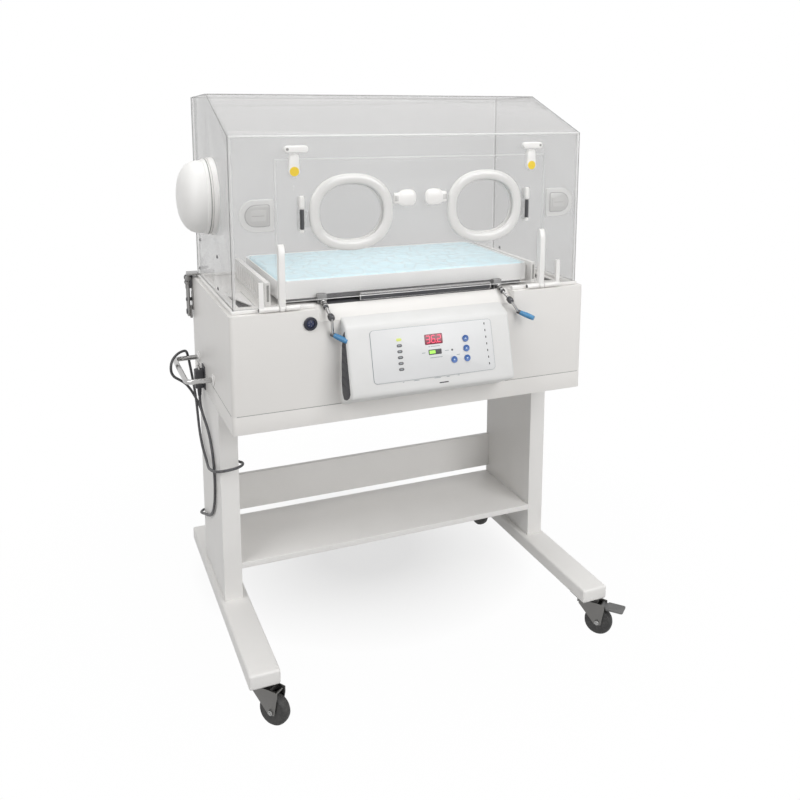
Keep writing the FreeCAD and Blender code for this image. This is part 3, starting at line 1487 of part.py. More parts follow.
coil_blank = rod(
    "coil_blank", "coil_radius + lead_radius + 0.3", "coil_height",
    ("coil_across", "coil_setback", "0"),
)
coil_hole = rod(
    "coil_hole", "coil_radius - lead_radius - 0.3", "coil_height + 2",
    ("coil_across", "coil_setback", "-1"),
)
node("mains_coil", cut("mains_coil", coil_blank, coil_hole))

plug_y = "coil_setback + coil_radius"
plug_body = slab(
    "plug_body", ("plug_length", "plug_width", "plug_height"),
    ("plug_start", plug_y + " - plug_width / 2", "plug_rest"), "4",
)
plug_relief = rod(
    "plug_relief", "relief_radius - 1", "25", ("plug_start - 24", plug_y, "plug_z"), "x",
)
plug_pins = [
    rod(
        "plug_pin_" + name, "pin_radius", "pin_length + 1",
        ("plug_start + plug_length - 1", "%s %s" % (plug_y, shift), "plug_z %s" % lift), "x",
    )
    for name, shift, lift in (
        ("left", "- pin_pitch / 2", "- 3"), ("right", "+ pin_pitch / 2", "- 3"), ("earth", "", "+ 4"),
    )
]
node("mains_plug", fuse("mains_plug", plug_body, plug_relief, *plug_pins))


document.recompute()
failed = [
    item.Name for item in document.Objects if "Invalid" in item.State or "Error" in item.State
]
for label, piece in NODES.items():
    shape = piece.Shape
    if shape.isNull() or not shape.isValid() or not shape.Solids:
        failed.append(label)
if failed:
    raise RuntimeError("failed: " + ", ".join(failed))
for label, piece in NODES.items():
    piece.Shape.exportStep("parts/%s.step" % label)
print(len(NODES), "nodes")
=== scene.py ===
import json
import math

import bmesh
import bpy
from mathutils import Matrix, Vector, noise


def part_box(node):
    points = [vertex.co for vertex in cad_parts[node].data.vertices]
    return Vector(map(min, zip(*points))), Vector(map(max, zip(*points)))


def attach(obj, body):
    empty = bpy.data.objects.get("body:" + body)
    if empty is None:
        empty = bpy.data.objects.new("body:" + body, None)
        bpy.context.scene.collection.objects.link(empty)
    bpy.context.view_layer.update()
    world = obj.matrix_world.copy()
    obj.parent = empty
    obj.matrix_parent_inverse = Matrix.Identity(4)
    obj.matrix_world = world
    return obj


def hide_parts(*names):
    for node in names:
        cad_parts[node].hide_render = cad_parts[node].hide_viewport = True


# Closed infant incubator on a castered stand.
# Metres, +Z up, +X to the right seen from the front, +Y to the back.

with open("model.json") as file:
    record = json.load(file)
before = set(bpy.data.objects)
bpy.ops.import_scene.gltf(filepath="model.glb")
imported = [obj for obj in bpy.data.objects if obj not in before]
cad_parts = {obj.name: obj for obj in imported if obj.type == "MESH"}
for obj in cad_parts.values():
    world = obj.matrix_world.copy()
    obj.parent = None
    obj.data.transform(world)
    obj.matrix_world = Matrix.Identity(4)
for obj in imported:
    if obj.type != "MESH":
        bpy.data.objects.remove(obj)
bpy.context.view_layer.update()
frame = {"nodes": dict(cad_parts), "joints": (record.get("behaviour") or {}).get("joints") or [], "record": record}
BODY_OF = {
    node: body for body, nodes in frame["record"]["behaviour"]["bodies"].items() for node in nodes
}
LEFT, RIGHT = -1, 1

# The deck's height, the cabinet's front and side, and its joint with the bottom pan
DECK = 0.930
FRONT = -0.238
CABINET_SIDE = 0.465
SEAM = (0.6943, 0.6957)
# The hood's side, the front of its grommets, and the door's face behind its fittings
HOOD_SIDE = 0.452
HOOD_FACE = -0.223
DOOR_FACE = -0.2163
# The rods that the door folds down on, its catch tabs, its ports and their hinges
ROD_Y, ROD_Z = -0.228, 0.9376
TAB_X = 0.306
PORT_X, PORT_Z = 0.173, 1.153
PORT_HINGE_X, PORT_HINGE_Y = 0.292, -0.2303


# Camera and light

def place_camera():
    """The photograph's viewpoint: slightly left of the front, a little above the deck."""
    camera = bpy.data.objects.new("camera", bpy.data.cameras.new("camera"))
    bpy.context.collection.objects.link(camera)
    azimuth, pitch, roll = (math.radians(angle) for angle in (24.7, -10.21, 0.57))
    ahead = Vector((
        math.sin(azimuth) * math.cos(pitch), math.cos(azimuth) * math.cos(pitch), math.sin(pitch),
    ))
    level = Vector((math.cos(azimuth), -math.sin(azimuth), 0))
    above = level.cross(ahead)
    right = level * math.cos(roll) + above * math.sin(roll)
    up = above * math.cos(roll) - level * math.sin(roll)
    turn = Matrix((right, up, -ahead)).transposed().to_4x4()
    camera.matrix_world = Matrix.Translation((-0.8338, -2.2153, 1.4286)) @ turn
    camera.data.sensor_width = 36
    camera.data.lens = 40.55
    camera.data.shift_x = -0.0625
    camera.data.shift_y = -0.18125
    bpy.context.scene.camera = camera


def soft_lamp(name, place, aim, size, power):
    """A rectangular area lamp that points from its place to its aim."""
    light = bpy.data.lights.new(name, "AREA")
    light.energy = power
    light.shape = "RECTANGLE"
    light.size, light.size_y = size
    lamp = bpy.data.objects.new(name, light)
    lamp.location = place
    lamp.rotation_euler = (Vector(aim) - Vector(place)).to_track_quat("-Z", "Y").to_euler()
    bpy.context.collection.objects.link(lamp)
    return lamp


# Shader maths

class Value:
    """A number on a surface. Arithmetic on it adds the Math nodes that work it out."""

    def __init__(self, finish, socket):
        self.finish = finish
        self.socket = socket

    def join(self, operation, *numbers):
        """The result of a Math node with these inputs."""
        values = dict(enumerate(numbers))
        return self.finish.add("ShaderNodeMath", {"operation": operation}, values).value()

    def __add__(self, other):
        return self.join("ADD", self, other)

    def __rsub__(self, other):
        return self.join("SUBTRACT", other, self)

    def __mul__(self, other):
        return self.join("MULTIPLY", self, other)

    def __pow__(self, other):
        return self.join("POWER", self, other)

    def or_larger(self, other):
        return self.join("MAXIMUM", self, other)

    def between(self, low, high):
        """0 at low and under, 1 at high and over."""
        return self.finish.add(
            "ShaderNodeMapRange", {"clamp": True}, {"Value": self, "From Min": low, "From Max": high},
        ).value()


class Added:
    """A node, with its outputs as values or plain links."""

    def __init__(self, finish, node):
        self.finish = finish
        self.node = node

    def value(self, output=0):
        return Value(self.finish, self.node.outputs[output])

    def link(self, output=0):
        return self.node.outputs[output]


class Finish:
    """A surface finish under construction: one material and its nodes."""

    def __init__(self, name, **constant):
        self.material = bpy.data.materials.new(name)
        self.material.use_nodes = True
        tree = self.material.node_tree
        self.nodes = tree.nodes
        self.links = tree.links
        self.shader = next(node for node in self.nodes if node.type == "BSDF_PRINCIPLED")
        self.place = self.add("ShaderNodeTexCoord").link("Object")
        for socket, amount in constant.items():
            self.feed(socket.replace("_", " "), amount)

    def add(self, kind, settings=None, values=None):
        """Adds a node, sets its options and plugs its inputs."""
        node = self.nodes.new(kind)
        for name, setting in (settings or {}).items():
            setattr(node, name, setting)
        for socket, given in (values or {}).items():
            self.plug(node.inputs[socket], given)
        return Added(self, node)

    def plug(self, socket, given):
        """Gives an input a value, a link or a plain number or colour."""
        if isinstance(given, Value):
            given = given.socket
        if isinstance(given, bpy.types.NodeSocket):
            self.links.new(given, socket)
        elif socket.type == "RGBA" and len(given) == 3:
            socket.default_value = (*given, 1)
        else:
            socket.default_value = given

    def feed(self, socket, given):
        """Plugs an input of the surface shader."""
        self.plug(self.shader.inputs[socket], given)
        return self

    def noise(self, scale, detail=3, roughness=0.5, stretch=None):
        """Clouded variation over the surface, drawn out where it has a stretch."""
        place = self.place
        if stretch:
            place = self.add("ShaderNodeMapping", None, {"Vector": place, "Scale": stretch}).link()
        return self.add(
            "ShaderNodeTexNoise", None,
            {"Vector": place, "Scale": scale, "Detail": detail, "Roughness": roughness},
        ).value("Fac")

    def height(self):
        """How high above the floor the surface is."""
        return self.add("ShaderNodeSeparateXYZ", None, {0: self.place}).value("Z")

    def tint(self, factor, low, high):
        """A colour that goes from low to high with the factor."""
        return self.add(
            "ShaderNodeMix", {"data_type": "RGBA"}, {"Factor": factor, 6: low, 7: high},
        ).link(2)

    def bump(self, height, strength, distance=0.001):
        """Fine relief that shows in the shading only."""
        normal = self.add(
            "ShaderNodeBump", None, {"Height": height, "Strength": strength, "Distance": distance},
        ).link("Normal")
        self.plug(self.shader.inputs["Normal"], normal)
        return self


def painted(name, colour, shade, roughness, peel=0.12):
    """Sprayed enamel: a faint orange peel, clouded tone and slightly uneven gloss."""
    finish = Finish(name)
    clouds = finish.noise(3.5, 4)
    # Darker in patches towards the bottom
    darker_low_patches = (1 - finish.height().between(0.1, 0.75)) * finish.noise(9, 5).between(0.45, 0.8) * 0.35
    finish.feed("Base Color", finish.tint(clouds * 0.5 + darker_low_patches, colour, shade))
    finish.feed("Roughness", finish.noise(30, 3) * 0.12 + roughness)
    return finish.bump(finish.noise(420, 2), peel, 0.0004).material


def moulded(name, colour, shade, roughness, grain=0.1, scale=900):
    """Injection-moulded plastic: even tone, fine grain and softly varied gloss."""
    finish = Finish(name)
    finish.feed("Base Color", finish.tint(finish.noise(14, 3).between(0.3, 0.75), colour, shade))
    finish.feed("Roughness", finish.noise(60, 2) * 0.1 + roughness)
    return finish.bump(finish.noise(scale, 2), grain, 0.0003).material


def polished(name, colour, roughness, streak=(40, 40, 900), depth=0.05):
    """Bare or plated metal with fine rubbing marks along one way."""
    finish = Finish(name, Metallic=1.0)
    marks = finish.noise(6, 4, stretch=streak)
    finish.feed("Base Color", finish.tint(marks, colour, tuple(part * 0.8 for part in colour)))
    finish.feed("Roughness", marks * 0.16 + roughness)
    return finish.bump(marks, depth, 0.0003).material


def clear_sheet(name, colour, least, most):
    """Clear acrylic: barely there head on, milky with reflection at a slant."""
    finish = Finish(name, Roughness=0.06, IOR=1.49)
    slant = finish.add("ShaderNodeLayerWeight", None, {"Blend": 0.5}).value("Facing")
    haze = finish.noise(5, 3) * 0.04
    finish.feed("Alpha", slant ** 2.5 * (most - least) + least + haze)
    deeper = tuple(0.94 * part for part in colour)
    finish.feed("Base Color", finish.tint(finish.noise(2.2, 2), colour, deeper))
    return finish.material


def mattress_cover():
    """Pale blue cloth under a crinkled clear film that catches the light in creases."""
    finish = Finish("mattress_cover", Coat_Roughness=0.12)
    creases = finish.add(
        "ShaderNodeTexVoronoi", {"feature": "DISTANCE_TO_EDGE"},
        {"Vector": finish.place, "Scale": 26, "Randomness": 1.0},
    ).value("Distance")
    ridges = 1 - creases.between(0.0, 0.09)
    fine = finish.noise(70, 5, 0.7)
    light = ridges * 0.35 + fine.between(0.5, 0.8) * 0.6
    finish.feed("Base Color", finish.tint(light, (0.68, 0.92, 1.0), (0.92, 0.99, 1.0)))
    finish.feed("Roughness", fine * 0.3 + 0.25)
    finish.feed("Coat Weight", ridges * 0.3 + 0.4)
    return finish.bump(fine * 0.6 + ridges * 0.4, 0.9, 0.004).material


def tyre_rubber():
    """Black rubber, scuffed grey where it rolls."""
    finish = Finish("tyre_rubber")
    scuffs = finish.noise(90, 5, 0.7)
    finish.feed("Base Color", finish.tint(
        scuffs.between(0.4, 0.8), (0.022, 0.022, 0.022), (0.075, 0.073, 0.07),
    ))
    finish.feed("Roughness", scuffs * 0.3 + 0.45)
    return finish.bump(scuffs, 0.3, 0.001).material


def cord_jacket():
    """Charcoal rubber jacket, slightly dusty."""
    finish = Finish("cord_jacket")
    dust = finish.noise(160, 4, 0.6)
    finish.feed("Base Color", finish.tint(
        dust.between(0.35, 0.8), (0.055, 0.055, 0.06), (0.14, 0.14, 0.145),
    ))
    finish.feed("Roughness", dust * 0.25 + 0.42)
    return finish.bump(dust, 0.2, 0.0005).material


def circuit_lacquer():
    """Green lacquer over a grid of copper tracks."""
    finish = Finish("circuit_lacquer", Roughness=0.3)
    grid = finish.add("ShaderNodeTexBrick", {"offset": 0.5}, {
        "Vector": finish.place, "Color1": (0.02, 0.2, 0.08), "Color2": (0.03, 0.26, 0.1),
        "Mortar": (0.4, 0.36, 0.1), "Scale": 60.0, "Mortar Size": 0.03,
    })
    return finish.feed("Base Color", grid.link("Color")).material


def lit(name, colour, strength):
    """A lamp or digit that glows through its window."""
    finish = Finish(name, Roughness=0.4, Emission_Strength=strength)
    glow = finish.noise(300, 2)
    finish.feed("Base Color", colour)
    finish.feed("Emission Color", finish.tint(glow, colour, tuple(0.8 * part for part in colour)))
    return finish.material


WHITE_PAINT = painted("white_paint", (0.80, 0.785, 0.765), (0.72, 0.705, 0.68), 0.34)
STAND_PAINT = painted("stand_paint", (0.85, 0.84, 0.825), (0.77, 0.76, 0.74), 0.42, 0.2)
WHITE_PLASTIC = moulded("white_plastic", (0.87, 0.86, 0.845), (0.82, 0.81, 0.795), 0.2, 0.04)
SOFT_WHITE = moulded("soft_white", (0.92, 0.915, 0.9), (0.88, 0.875, 0.86), 0.42, 0.15, 260)
MODULE_PLASTIC = moulded("module_plastic", (0.74, 0.74, 0.735), (0.7, 0.7, 0.69), 0.36, 0.2, 700)
PANEL_FILM = moulded("panel_film", (0.68, 0.685, 0.69), (0.65, 0.655, 0.66), 0.3, 0.05)
MARK_WHITE = moulded("mark_white", (0.5, 0.62, 0.78), (0.42, 0.55, 0.72), 0.4)
PRINT_GREY = moulded("print_grey", (0.3, 0.33, 0.36), (0.25, 0.28, 0.3), 0.45)
# Black plastic, also used as painted shade in the deck's gaps, under the tray and inside the bed's bar
SLOT_BLACK = moulded("slot_black", (0.035, 0.035, 0.04), (0.06, 0.06, 0.065), 0.5, 0.3)
# Grey for seams, and painted shade in the duct slots and the latch grooves
SEAM_AND_SHADE_GREY = moulded("seam_and_shade_grey", (0.33, 0.33, 0.32), (0.24, 0.24, 0.23), 0.6)
SOCKET_BLUE = moulded("socket_blue", (0.01, 0.016, 0.06), (0.016, 0.026, 0.09), 0.2)
SOCKET_BLACK = moulded("socket_black", (0.012, 0.014, 0.026), (0.022, 0.024, 0.04), 0.18)
GRIP_BLUE = moulded("grip_blue", (0.07, 0.27, 0.5), (0.05, 0.2, 0.4), 0.22, 0.2, 500)
BUTTON_BLUE = moulded("button_blue", (0.025, 0.11, 0.36), (0.02, 0.085, 0.3), 0.3)
LABEL_YELLOW = moulded("label_yellow", (0.85, 0.62, 0.04), (0.8, 0.56, 0.03), 0.4)
PEDAL_GREY = moulded("pedal_grey", (0.15, 0.15, 0.15), (0.09, 0.09, 0.09), 0.36, 0.4, 300)
HUB_GREY = moulded("hub_grey", (0.11, 0.11, 0.11), (0.07, 0.07, 0.07), 0.4)
TRAY_PLASTIC = moulded("tray_plastic", (0.93, 0.93, 0.925), (0.9, 0.9, 0.895), 0.25, 0.05)
TANK_PLASTIC = moulded("tank_plastic", (0.6, 0.68, 0.72), (0.55, 0.63, 0.68), 0.3)
CHROME = polished("chrome", (0.5, 0.495, 0.49), 0.1)
HINGE_STEEL = polished("hinge_steel", (0.3, 0.295, 0.29), 0.2, (60, 60, 300), 0.15)
ZINC = polished("zinc", (0.36, 0.36, 0.355), 0.28, (200, 200, 200), 0.2)
FORK_STEEL = polished("fork_steel", (0.19, 0.186, 0.18), 0.3, (160, 160, 160), 0.25)
BRUSHED = polished("brushed_metal", (0.27, 0.27, 0.27), 0.32, (8, 300, 300), 0.15)
# Dark steel, also used as painted shade on the tilt frame in the gap under the tray
DARK_STEEL = polished("dark_steel", (0.11, 0.11, 0.115), 0.34, (200, 200, 200), 0.2)
ACRYLIC = clear_sheet("acrylic", (0.66, 0.65, 0.64), 0.07, 0.4)
# A darker, more opaque copy of the acrylic: painted shade on the hood's roof and back
ACRYLIC_BACK_SHADED = clear_sheet("acrylic_back_shaded", (0.155, 0.15, 0.144), 0.225, 0.46)
ACRYLIC_END = clear_sheet("acrylic_end", (0.62, 0.612, 0.605), 0.14, 0.34)
# A darker copy of the end acrylic: painted shade on the far end
ACRYLIC_FAR_SHADED = clear_sheet("acrylic_far_shaded", (0.2, 0.195, 0.188), 0.2, 0.5)
# Whiter acrylic on the sheets' cut edges: a painted highlight
ACRYLIC_EDGE_HIGHLIGHT = clear_sheet("acrylic_edge_highlight", (0.84, 0.84, 0.835), 0.45, 0.8)
# Dark lines along the hood's corners: painted shade
EDGE_SHADE_LINE = clear_sheet("edge_line", (0.30, 0.30, 0.295), 0.5, 0.8)
EDGE_GLEAM = clear_sheet("edge_gleam", (0.93, 0.93, 0.925), 0.55, 0.85)
LID_PANE = clear_sheet("lid_pane", (0.5, 0.49, 0.48), 0.1, 0.4)
MILKY_RIM = clear_sheet("milky_rim", (0.87, 0.865, 0.85), 0.82, 0.97)
SILICONE = clear_sheet("silicone", (0.84, 0.835, 0.825), 0.5, 0.9)
SILICONE_SHADE = clear_sheet("silicone_shade", (0.5, 0.5, 0.49), 0.3, 0.6)
MATTRESS = mattress_cover()
TYRE = tyre_rubber()
JACKET = cord_jacket()
CIRCUIT = circuit_lacquer()
DISPLAY_GLASS = moulded("display_glass", (0.2, 0.006, 0.03), (0.15, 0.004, 0.022), 0.15)
DIGIT_RED = lit("digit_red", (0.85, 0.07, 0.14), 0.9)
LAMP_GREEN = lit("lamp_green", (0.32, 0.72, 0.08), 0.55)
LAMP_YELLOW = lit("lamp_yellow", (0.55, 0.62, 0.14), 0.25)
LAMP_DARK = moulded("lamp_dark", (0.06, 0.06, 0.065), (0.1, 0.1, 0.1), 0.25)


# Mesh making

# The turn from which an edge is rounded, and the one below which faces count as flat
SHARP_TURN = math.radians(30)
FLAT_TURN = math.radians(0.6)
# Points closer than this are one point
SAME_PLACE = 2e-5
# A turned shape ends in a tiny circle, because a single point would leave faces without area
TIP_RADIUS = 1e-5
# Faces narrower than this are the cut edges of the clear sheets, which get a painted highlight
SHEET_EDGE = 0.0075


def finished(name, mesh, finishes, body, replaces=(), slot=None, smooth=35):
    """Puts a mesh in the scene with its finish, its body and the CAD nodes it stands for."""
    piece = bpy.data.objects.new(name, mesh)
    bpy.context.collection.objects.link(piece)
    for finish in finishes if isinstance(finishes, (list, tuple)) else [finishes]:
        mesh.materials.append(finish)
    mesh.shade_smooth()
    mesh.set_sharp_from_angle(angle=math.radians(smooth))
    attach(piece, body)
    if replaces:
        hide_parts(*replaces)
    return piece


def to_mesh(bm, name):
    """Turns the working mesh into a stored one, with all its faces looking outwards."""
    bmesh.ops.recalc_face_normals(bm, faces=bm.faces)
    mesh = bpy.data.meshes.new(name)
    bm.to_mesh(mesh)
    bm.free()
    return mesh


def joined(name, parts, finishes, body, **rest):
    """One piece from several meshes; each part is a mesh or (mesh, index of its finish)."""
    bm = bmesh.new()
    for part in parts:
        mesh, index = part if isinstance(part, tuple) else (part, 0)
        start = len(bm.faces)
        bm.from_mesh(mesh)
        bm.faces.ensure_lookup_table()
        for face in bm.faces[start:]:
            face.material_index = index
        bpy.data.meshes.remove(mesh)
    mesh = bpy.data.meshes.new(name)
    bm.to_mesh(mesh)
    bm.free()
    return finished(name, mesh, finishes, body, **rest)


def eased(bm, width, segments):
    """Rounds every edge where the surface turns sharply."""
    bmesh.ops.recalc_face_normals(bm, faces=bm.faces)
    edges = [
        edge for edge in bm.edges
        if len(edge.link_faces) == 2 and edge.calc_face_angle() > SHARP_TURN
    ]
    bmesh.ops.bevel(
        bm, geom=edges, offset=width, segments=segments, profile=0.6, affect="EDGES",
        clamp_overlap=True,
    )


def arc(centre, radius, first, sweep, steps):
    """Points of an arc in a plane, from the angle first on."""
    turns = (first + sweep * step / steps for step in range(steps + 1))
    return [
        (centre[0] + radius * math.cos(turn), centre[1] + radius * math.sin(turn)) for turn in turns
    ]


def span(side, near, far):
    """The low and high x of something between two distances from the middle."""
    return sorted((side * near, side * far))


def block(low, high, ease=0.001, segments=2):
    """A box between two corners, with eased edges."""
    bm = bmesh.new()
    bmesh.ops.create_cube(bm, size=1)
    middle = (Vector(low) + Vector(high)) / 2
    for vert in bm.verts:
        vert.co = middle + Vector(
            part * (top - bottom) for part, bottom, top in zip(vert.co, low, high)
        )
    eased(bm, ease, segments)
    return to_mesh(bm, "block")


def slab(outline, axis, low, high, ease=0.001, segments=2):
    """A plate with a given outline across an axis, from low to high along it."""
    bm = bmesh.new()
    others = [letter for letter in "xyz" if letter != axis]

    def corner(point, along):
        place = dict(zip(others, point))
        place[axis] = along
        return bm.verts.new((place["x"], place["y"], place["z"]))

    rings = [[corner(point, along) for point in outline] for along in (low, high)]
    count = len(outline)
    bm.faces.new(rings[0])
    bm.faces.new(rings[1][::-1])
    for number in range(count):
        after = (number + 1) % count
        bm.faces.new((rings[0][number], rings[0][after], rings[1][after], rings[1][number]))
    if ease:
        eased(bm, ease, segments)
    return to_mesh(bm, "slab")


def loops_to_mesh(rings, closed_path=False):
    """Skins a list of equal rings of points, with a cap at each end unless the path is closed."""
    bm = bmesh.new()
    made = [[bm.verts.new(point) for point in ring] for ring in rings]
    count = len(made[0])
    spans = list(zip(made, made[1:]))
    if closed_path:
        spans.append((made[-1], made[0]))
    for one, other in spans:
        for number in range(count):
            after = (number + 1) % count
            bm.faces.new((one[number], one[after], other[after], other[number]))
    if not closed_path:
        bm.faces.new(made[0][::-1])
        bm.faces.new(made[-1])
    return to_mesh(bm, "skin")


def axes(way):
    """A unit vector along an axis, and two that are square to it and to each other."""
    way = Vector(way).normalized()
    side = way.orthogonal().normalized()
    return way, side, way.cross(side)


def circle(centre, side, other, radius, steps):
    """Points round a centre, in the plane of two directions."""
    turns = (2 * math.pi * step / steps for step in range(steps))
    return [centre + (side * math.cos(turn) + other * math.sin(turn)) * radius for turn in turns]


def lathe(profile, start, way, steps=40):
    """Turns a profile of (distance along, radius) about an axis through start."""
    way, side, other = axes(way)
    return loops_to_mesh([
        circle(Vector(start) + way * along, side, other, max(radius, TIP_RADIUS), steps)
        for along, radius in profile
    ])


def lathe_ring(section, start, way, steps):
    """Turns a closed section about an axis into a ring."""
    way, side, other = axes(way)
    rings = []
    for step in range(steps):
        turn = 2 * math.pi * step / steps
        out = side * math.cos(turn) + other * math.sin(turn)
        rings.append([Vector(start) + way * along + out * radius for along, radius in section])
    return loops_to_mesh(rings, closed_path=True)


def rod(start, end, radius, ease=0.0006, steps=28):
    """A round bar with eased ends."""
    way = Vector(end) - Vector(start)
    length = way.length
    ease = min(ease, radius * 0.5, length * 0.3)
    profile = [
        (0, radius - ease), (ease * 0.3, radius - ease * 0.3), (ease, radius),
        (length - ease, radius), (length - ease * 0.3, radius - ease * 0.3), (length, radius - ease),
    ]
    return lathe(profile, start, way, steps)


def bent_bar(points, radius, sides):
    """A round tube along a line of points."""
    points = [Vector(point) for point in points]
    ways = [(after - before).normalized() for before, after in zip(points, points[1:])]
    ways = [ways[0]] + [(a + b).normalized() for a, b in zip(ways, ways[1:])] + [ways[-1]]
    side = ways[0].orthogonal().normalized()
    rings = []
    for point, way in zip(points, ways):
        side = (side - way * side.dot(way)).normalized()
        rings.append(circle(point, side, way.cross(side), radius, sides))
    return loops_to_mesh(rings)


def oval(centre, half_width, half_height, power):
    """Points round an upright oval; it gets squarer the higher the power is."""
    points = []
    steps = 96
    for step in range(steps):
        turn = 2 * math.pi * step / steps
        across, up = math.cos(turn), math.sin(turn)
        points.append((
            centre[0] + half_width * math.copysign(abs(across) ** (2 / power), across),
            centre[1] + half_height * math.copysign(abs(up) ** (2 / power), up),
        ))
    return points


def oval_band(centre, half_width, half_height, section, power):
    """Carries a section of (outset, y) points round an oval."""
    lines = [
        [(x, y, z) for x, z in oval(centre, half_width + outset, half_height + outset, power)]
        for outset, y in section
    ]
    return loops_to_mesh(list(zip(*lines)), closed_path=True)


def oval_plate(centre, half_width, half_height, front, back, power):
    """A flat upright plate with an oval outline."""
    return slab(oval(centre, half_width, half_height, power), "y", front, back, 0)


def is_edge(face):
    """Whether a face is the narrow edge of a sheet."""
    reach = sorted(
        max(vert.co[axis] for vert in face.verts) - min(vert.co[axis] for vert in face.verts)
        for axis in range(3)
    )
    return reach[1] < SHEET_EDGE


def softened(node, finishes, width=0.0012, segments=2, choose=None):
    """A copy of a rigid CAD piece with its sharp edges eased, as bent or moulded edges are.

    Where it has several finishes, choose says by index which of them a face gets.
    """
    source = frame["nodes"][node].data
    bm = bmesh.new()
    bm.from_mesh(source)
    bmesh.ops.remove_doubles(bm, verts=bm.verts, dist=SAME_PLACE)
    bmesh.ops.dissolve_limit(
        bm, angle_limit=FLAT_TURN, verts=bm.verts, edges=bm.edges, delimit=set(),
    )
    if choose:
        for face in bm.faces:
            face.material_index = choose(face)
    eased(bm, width, segments)
    mesh = to_mesh(bm, node)
    return finished(node + "_shape", mesh, finishes, BODY_OF[node], replaces=(node,))


# Mains lead

# The route is in millimetres, and so is the coil
LEAD_ROUTE = [
    # down from the connector, forward along the left leg and back down to its rear edge
    (-479, 135, 633), (-479, 135, 608), (-477, 106, 588), (-472, 64, 562), (-471, 26, 530),
    (-471, 2, 490), (-471, -5, 440), (-471, 5, 392), (-471, 32, 352), (-471, 72, 320),
    (-471, 118, 298), (-472, 164, 282), (-475, 196, 270),
    # round the back of the leg and over the rear rail
    (-476, 219, 264), (-465, 236, 262), (-443, 242, 262), (-418, 242, 268), (-403, 241, 290),
    (-399, 240, 324), (-399, 236, 358), (-401, 220, 384), (-404, 190, 402),
    # forward inside the leg and round its front edge
    (-408, 148, 418), (-409, 104, 438), (-409, 60, 462), (-409, 18, 482), (-409, -20, 495),
    (-407, -48, 503), (-412, -68, 505), (-430, -79, 504), (-455, -79, 502), (-474, -68, 498),
    # back along the outside of the leg, over the first strand, and up to the handle
    (-481, -46, 492), (-481, -12, 482), (-480, 30, 470), (-475, 76, 462), (-472, 122, 462),
    (-472, 166, 474), (-473, 200, 505), (-474, 214, 548), (-476, 218, 594), (-481, 220, 640),
    (-487, 222, 684), (-492, 221, 716),
    # over the corner of the handle
    (-498, 207, 738), (-511, 187, 744), (-529, 168, 742), (-545, 154, 728), (-548, 152, 702),
    (-538, 170, 680), (-519, 198, 661),
    # down behind the leg to the coil on the floor
    (-498, 226, 638), (-478, 243, 602), (-459, 249, 556), (-449, 251, 506), (-444, 250, 454),
    (-439, 251, 402), (-430, 252, 350), (-416, 255, 300), (-397, 260, 254), (-374, 266, 212),
    (-350, 275, 172), (-326, 288, 134), (-305, 306, 98), (-289, 328, 66), (-278, 350, 40),
    (-272, 370, 24), (-270, 388, 18),
]
LEAD_RADIUS = 0.0035
COIL_CENTRE = (-230, 400)
COIL_RADIUS = 40
COIL_TURNS = 3.25
COIL_STEPS = 16
COIL_TOP, COIL_DROP = 18, 14


def coil_points():
    """Three and a quarter neat turns, from the top of the stack down to the plug."""
    count = int(COIL_TURNS * COIL_STEPS)
    points = []
    for step in range(1, count + 1):
        share = step / count
        turn = math.pi - 2 * math.pi * COIL_TURNS * share
        points.append((
            COIL_CENTRE[0] + COIL_RADIUS * math.cos(turn),
            COIL_CENTRE[1] + COIL_RADIUS * math.sin(turn),
            COIL_TOP - COIL_DROP * min(share * 1.08, 1),
        ))
    return points


def mains_lead():
    """The cord as one curve, from the connector to the plug."""
    route = LEAD_ROUTE + coil_points() + [(-214, 440, 5.5), (-196, 440, 8.3), (-188, 440, 8.3)]
    curve = bpy.data.curves.new("mains_lead", "CURVE")
    curve.dimensions = "3D"
    curve.bevel_depth = LEAD_RADIUS
    curve.bevel_resolution = 4
    curve.use_fill_caps = True
    spline = curve.splines.new("NURBS")
    spline.points.add(len(route) - 1)
    for point, place in zip(spline.points, route):
        point.co = (*(part / 1000 for part in place), 1)
    spline.order_u = 3
    spline.use_endpoint_u = True
    spline.resolution_u = 6
    lead = bpy.data.objects.new("mains_lead_run", curve)
    bpy.context.collection.objects.link(lead)
    curve.materials.append(JACKET)
    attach(lead, "stand")
    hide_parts("mains_lead", "mains_coil")
    return lead


def strain_relief(count, pitch, alongs, groove):
    """Profile of a relief whose ribs, each with a rise and a groove, widen one by one."""
    return [
        (number * pitch + along, radius + 0.0003 * number)
        for number in range(count)
        for along, radius in zip(alongs, (0.0046, 0.0046, groove, groove))
    ]


def mains_plug():
    """Moulded plug with a ribbed relief and three round pins, lying beside the coil."""
    pin_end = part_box("mains_plug")[1][0]
    y, z = 0.44, 0.0083
    ribs = strain_relief(6, 0.004, (0, 0.0022, 0.0024, 0.0038), 0.0040)
    outline = [
        (-0.19, y - 0.008), (-0.182, y - 0.0115), (-0.165, y - 0.0125), (-0.15, y - 0.014),
        (-0.146, y - 0.014), (-0.146, y + 0.014), (-0.15, y + 0.014), (-0.165, y + 0.0125),
        (-0.182, y + 0.0115), (-0.19, y + 0.008),
    ]
    parts = [
        slab(outline, "z", 0.0003, 0.0163, 0.003, 3),
        lathe(ribs, (-0.214, y, z), (1, 0, 0), 24),
    ]
    for across, up in ((-0.007, -0.003), (0.007, -0.003), (0, 0.004)):
        pin = rod((-0.147, y + across, z + up), (pin_end, y + across, z + up), 0.0024, 0.001)
        parts.append((pin, 1))
    return joined(
        "plug_shape", parts, [JACKET, CHROME], "stand", replaces=("mains_plug",), slot="cord_rubber",
    )


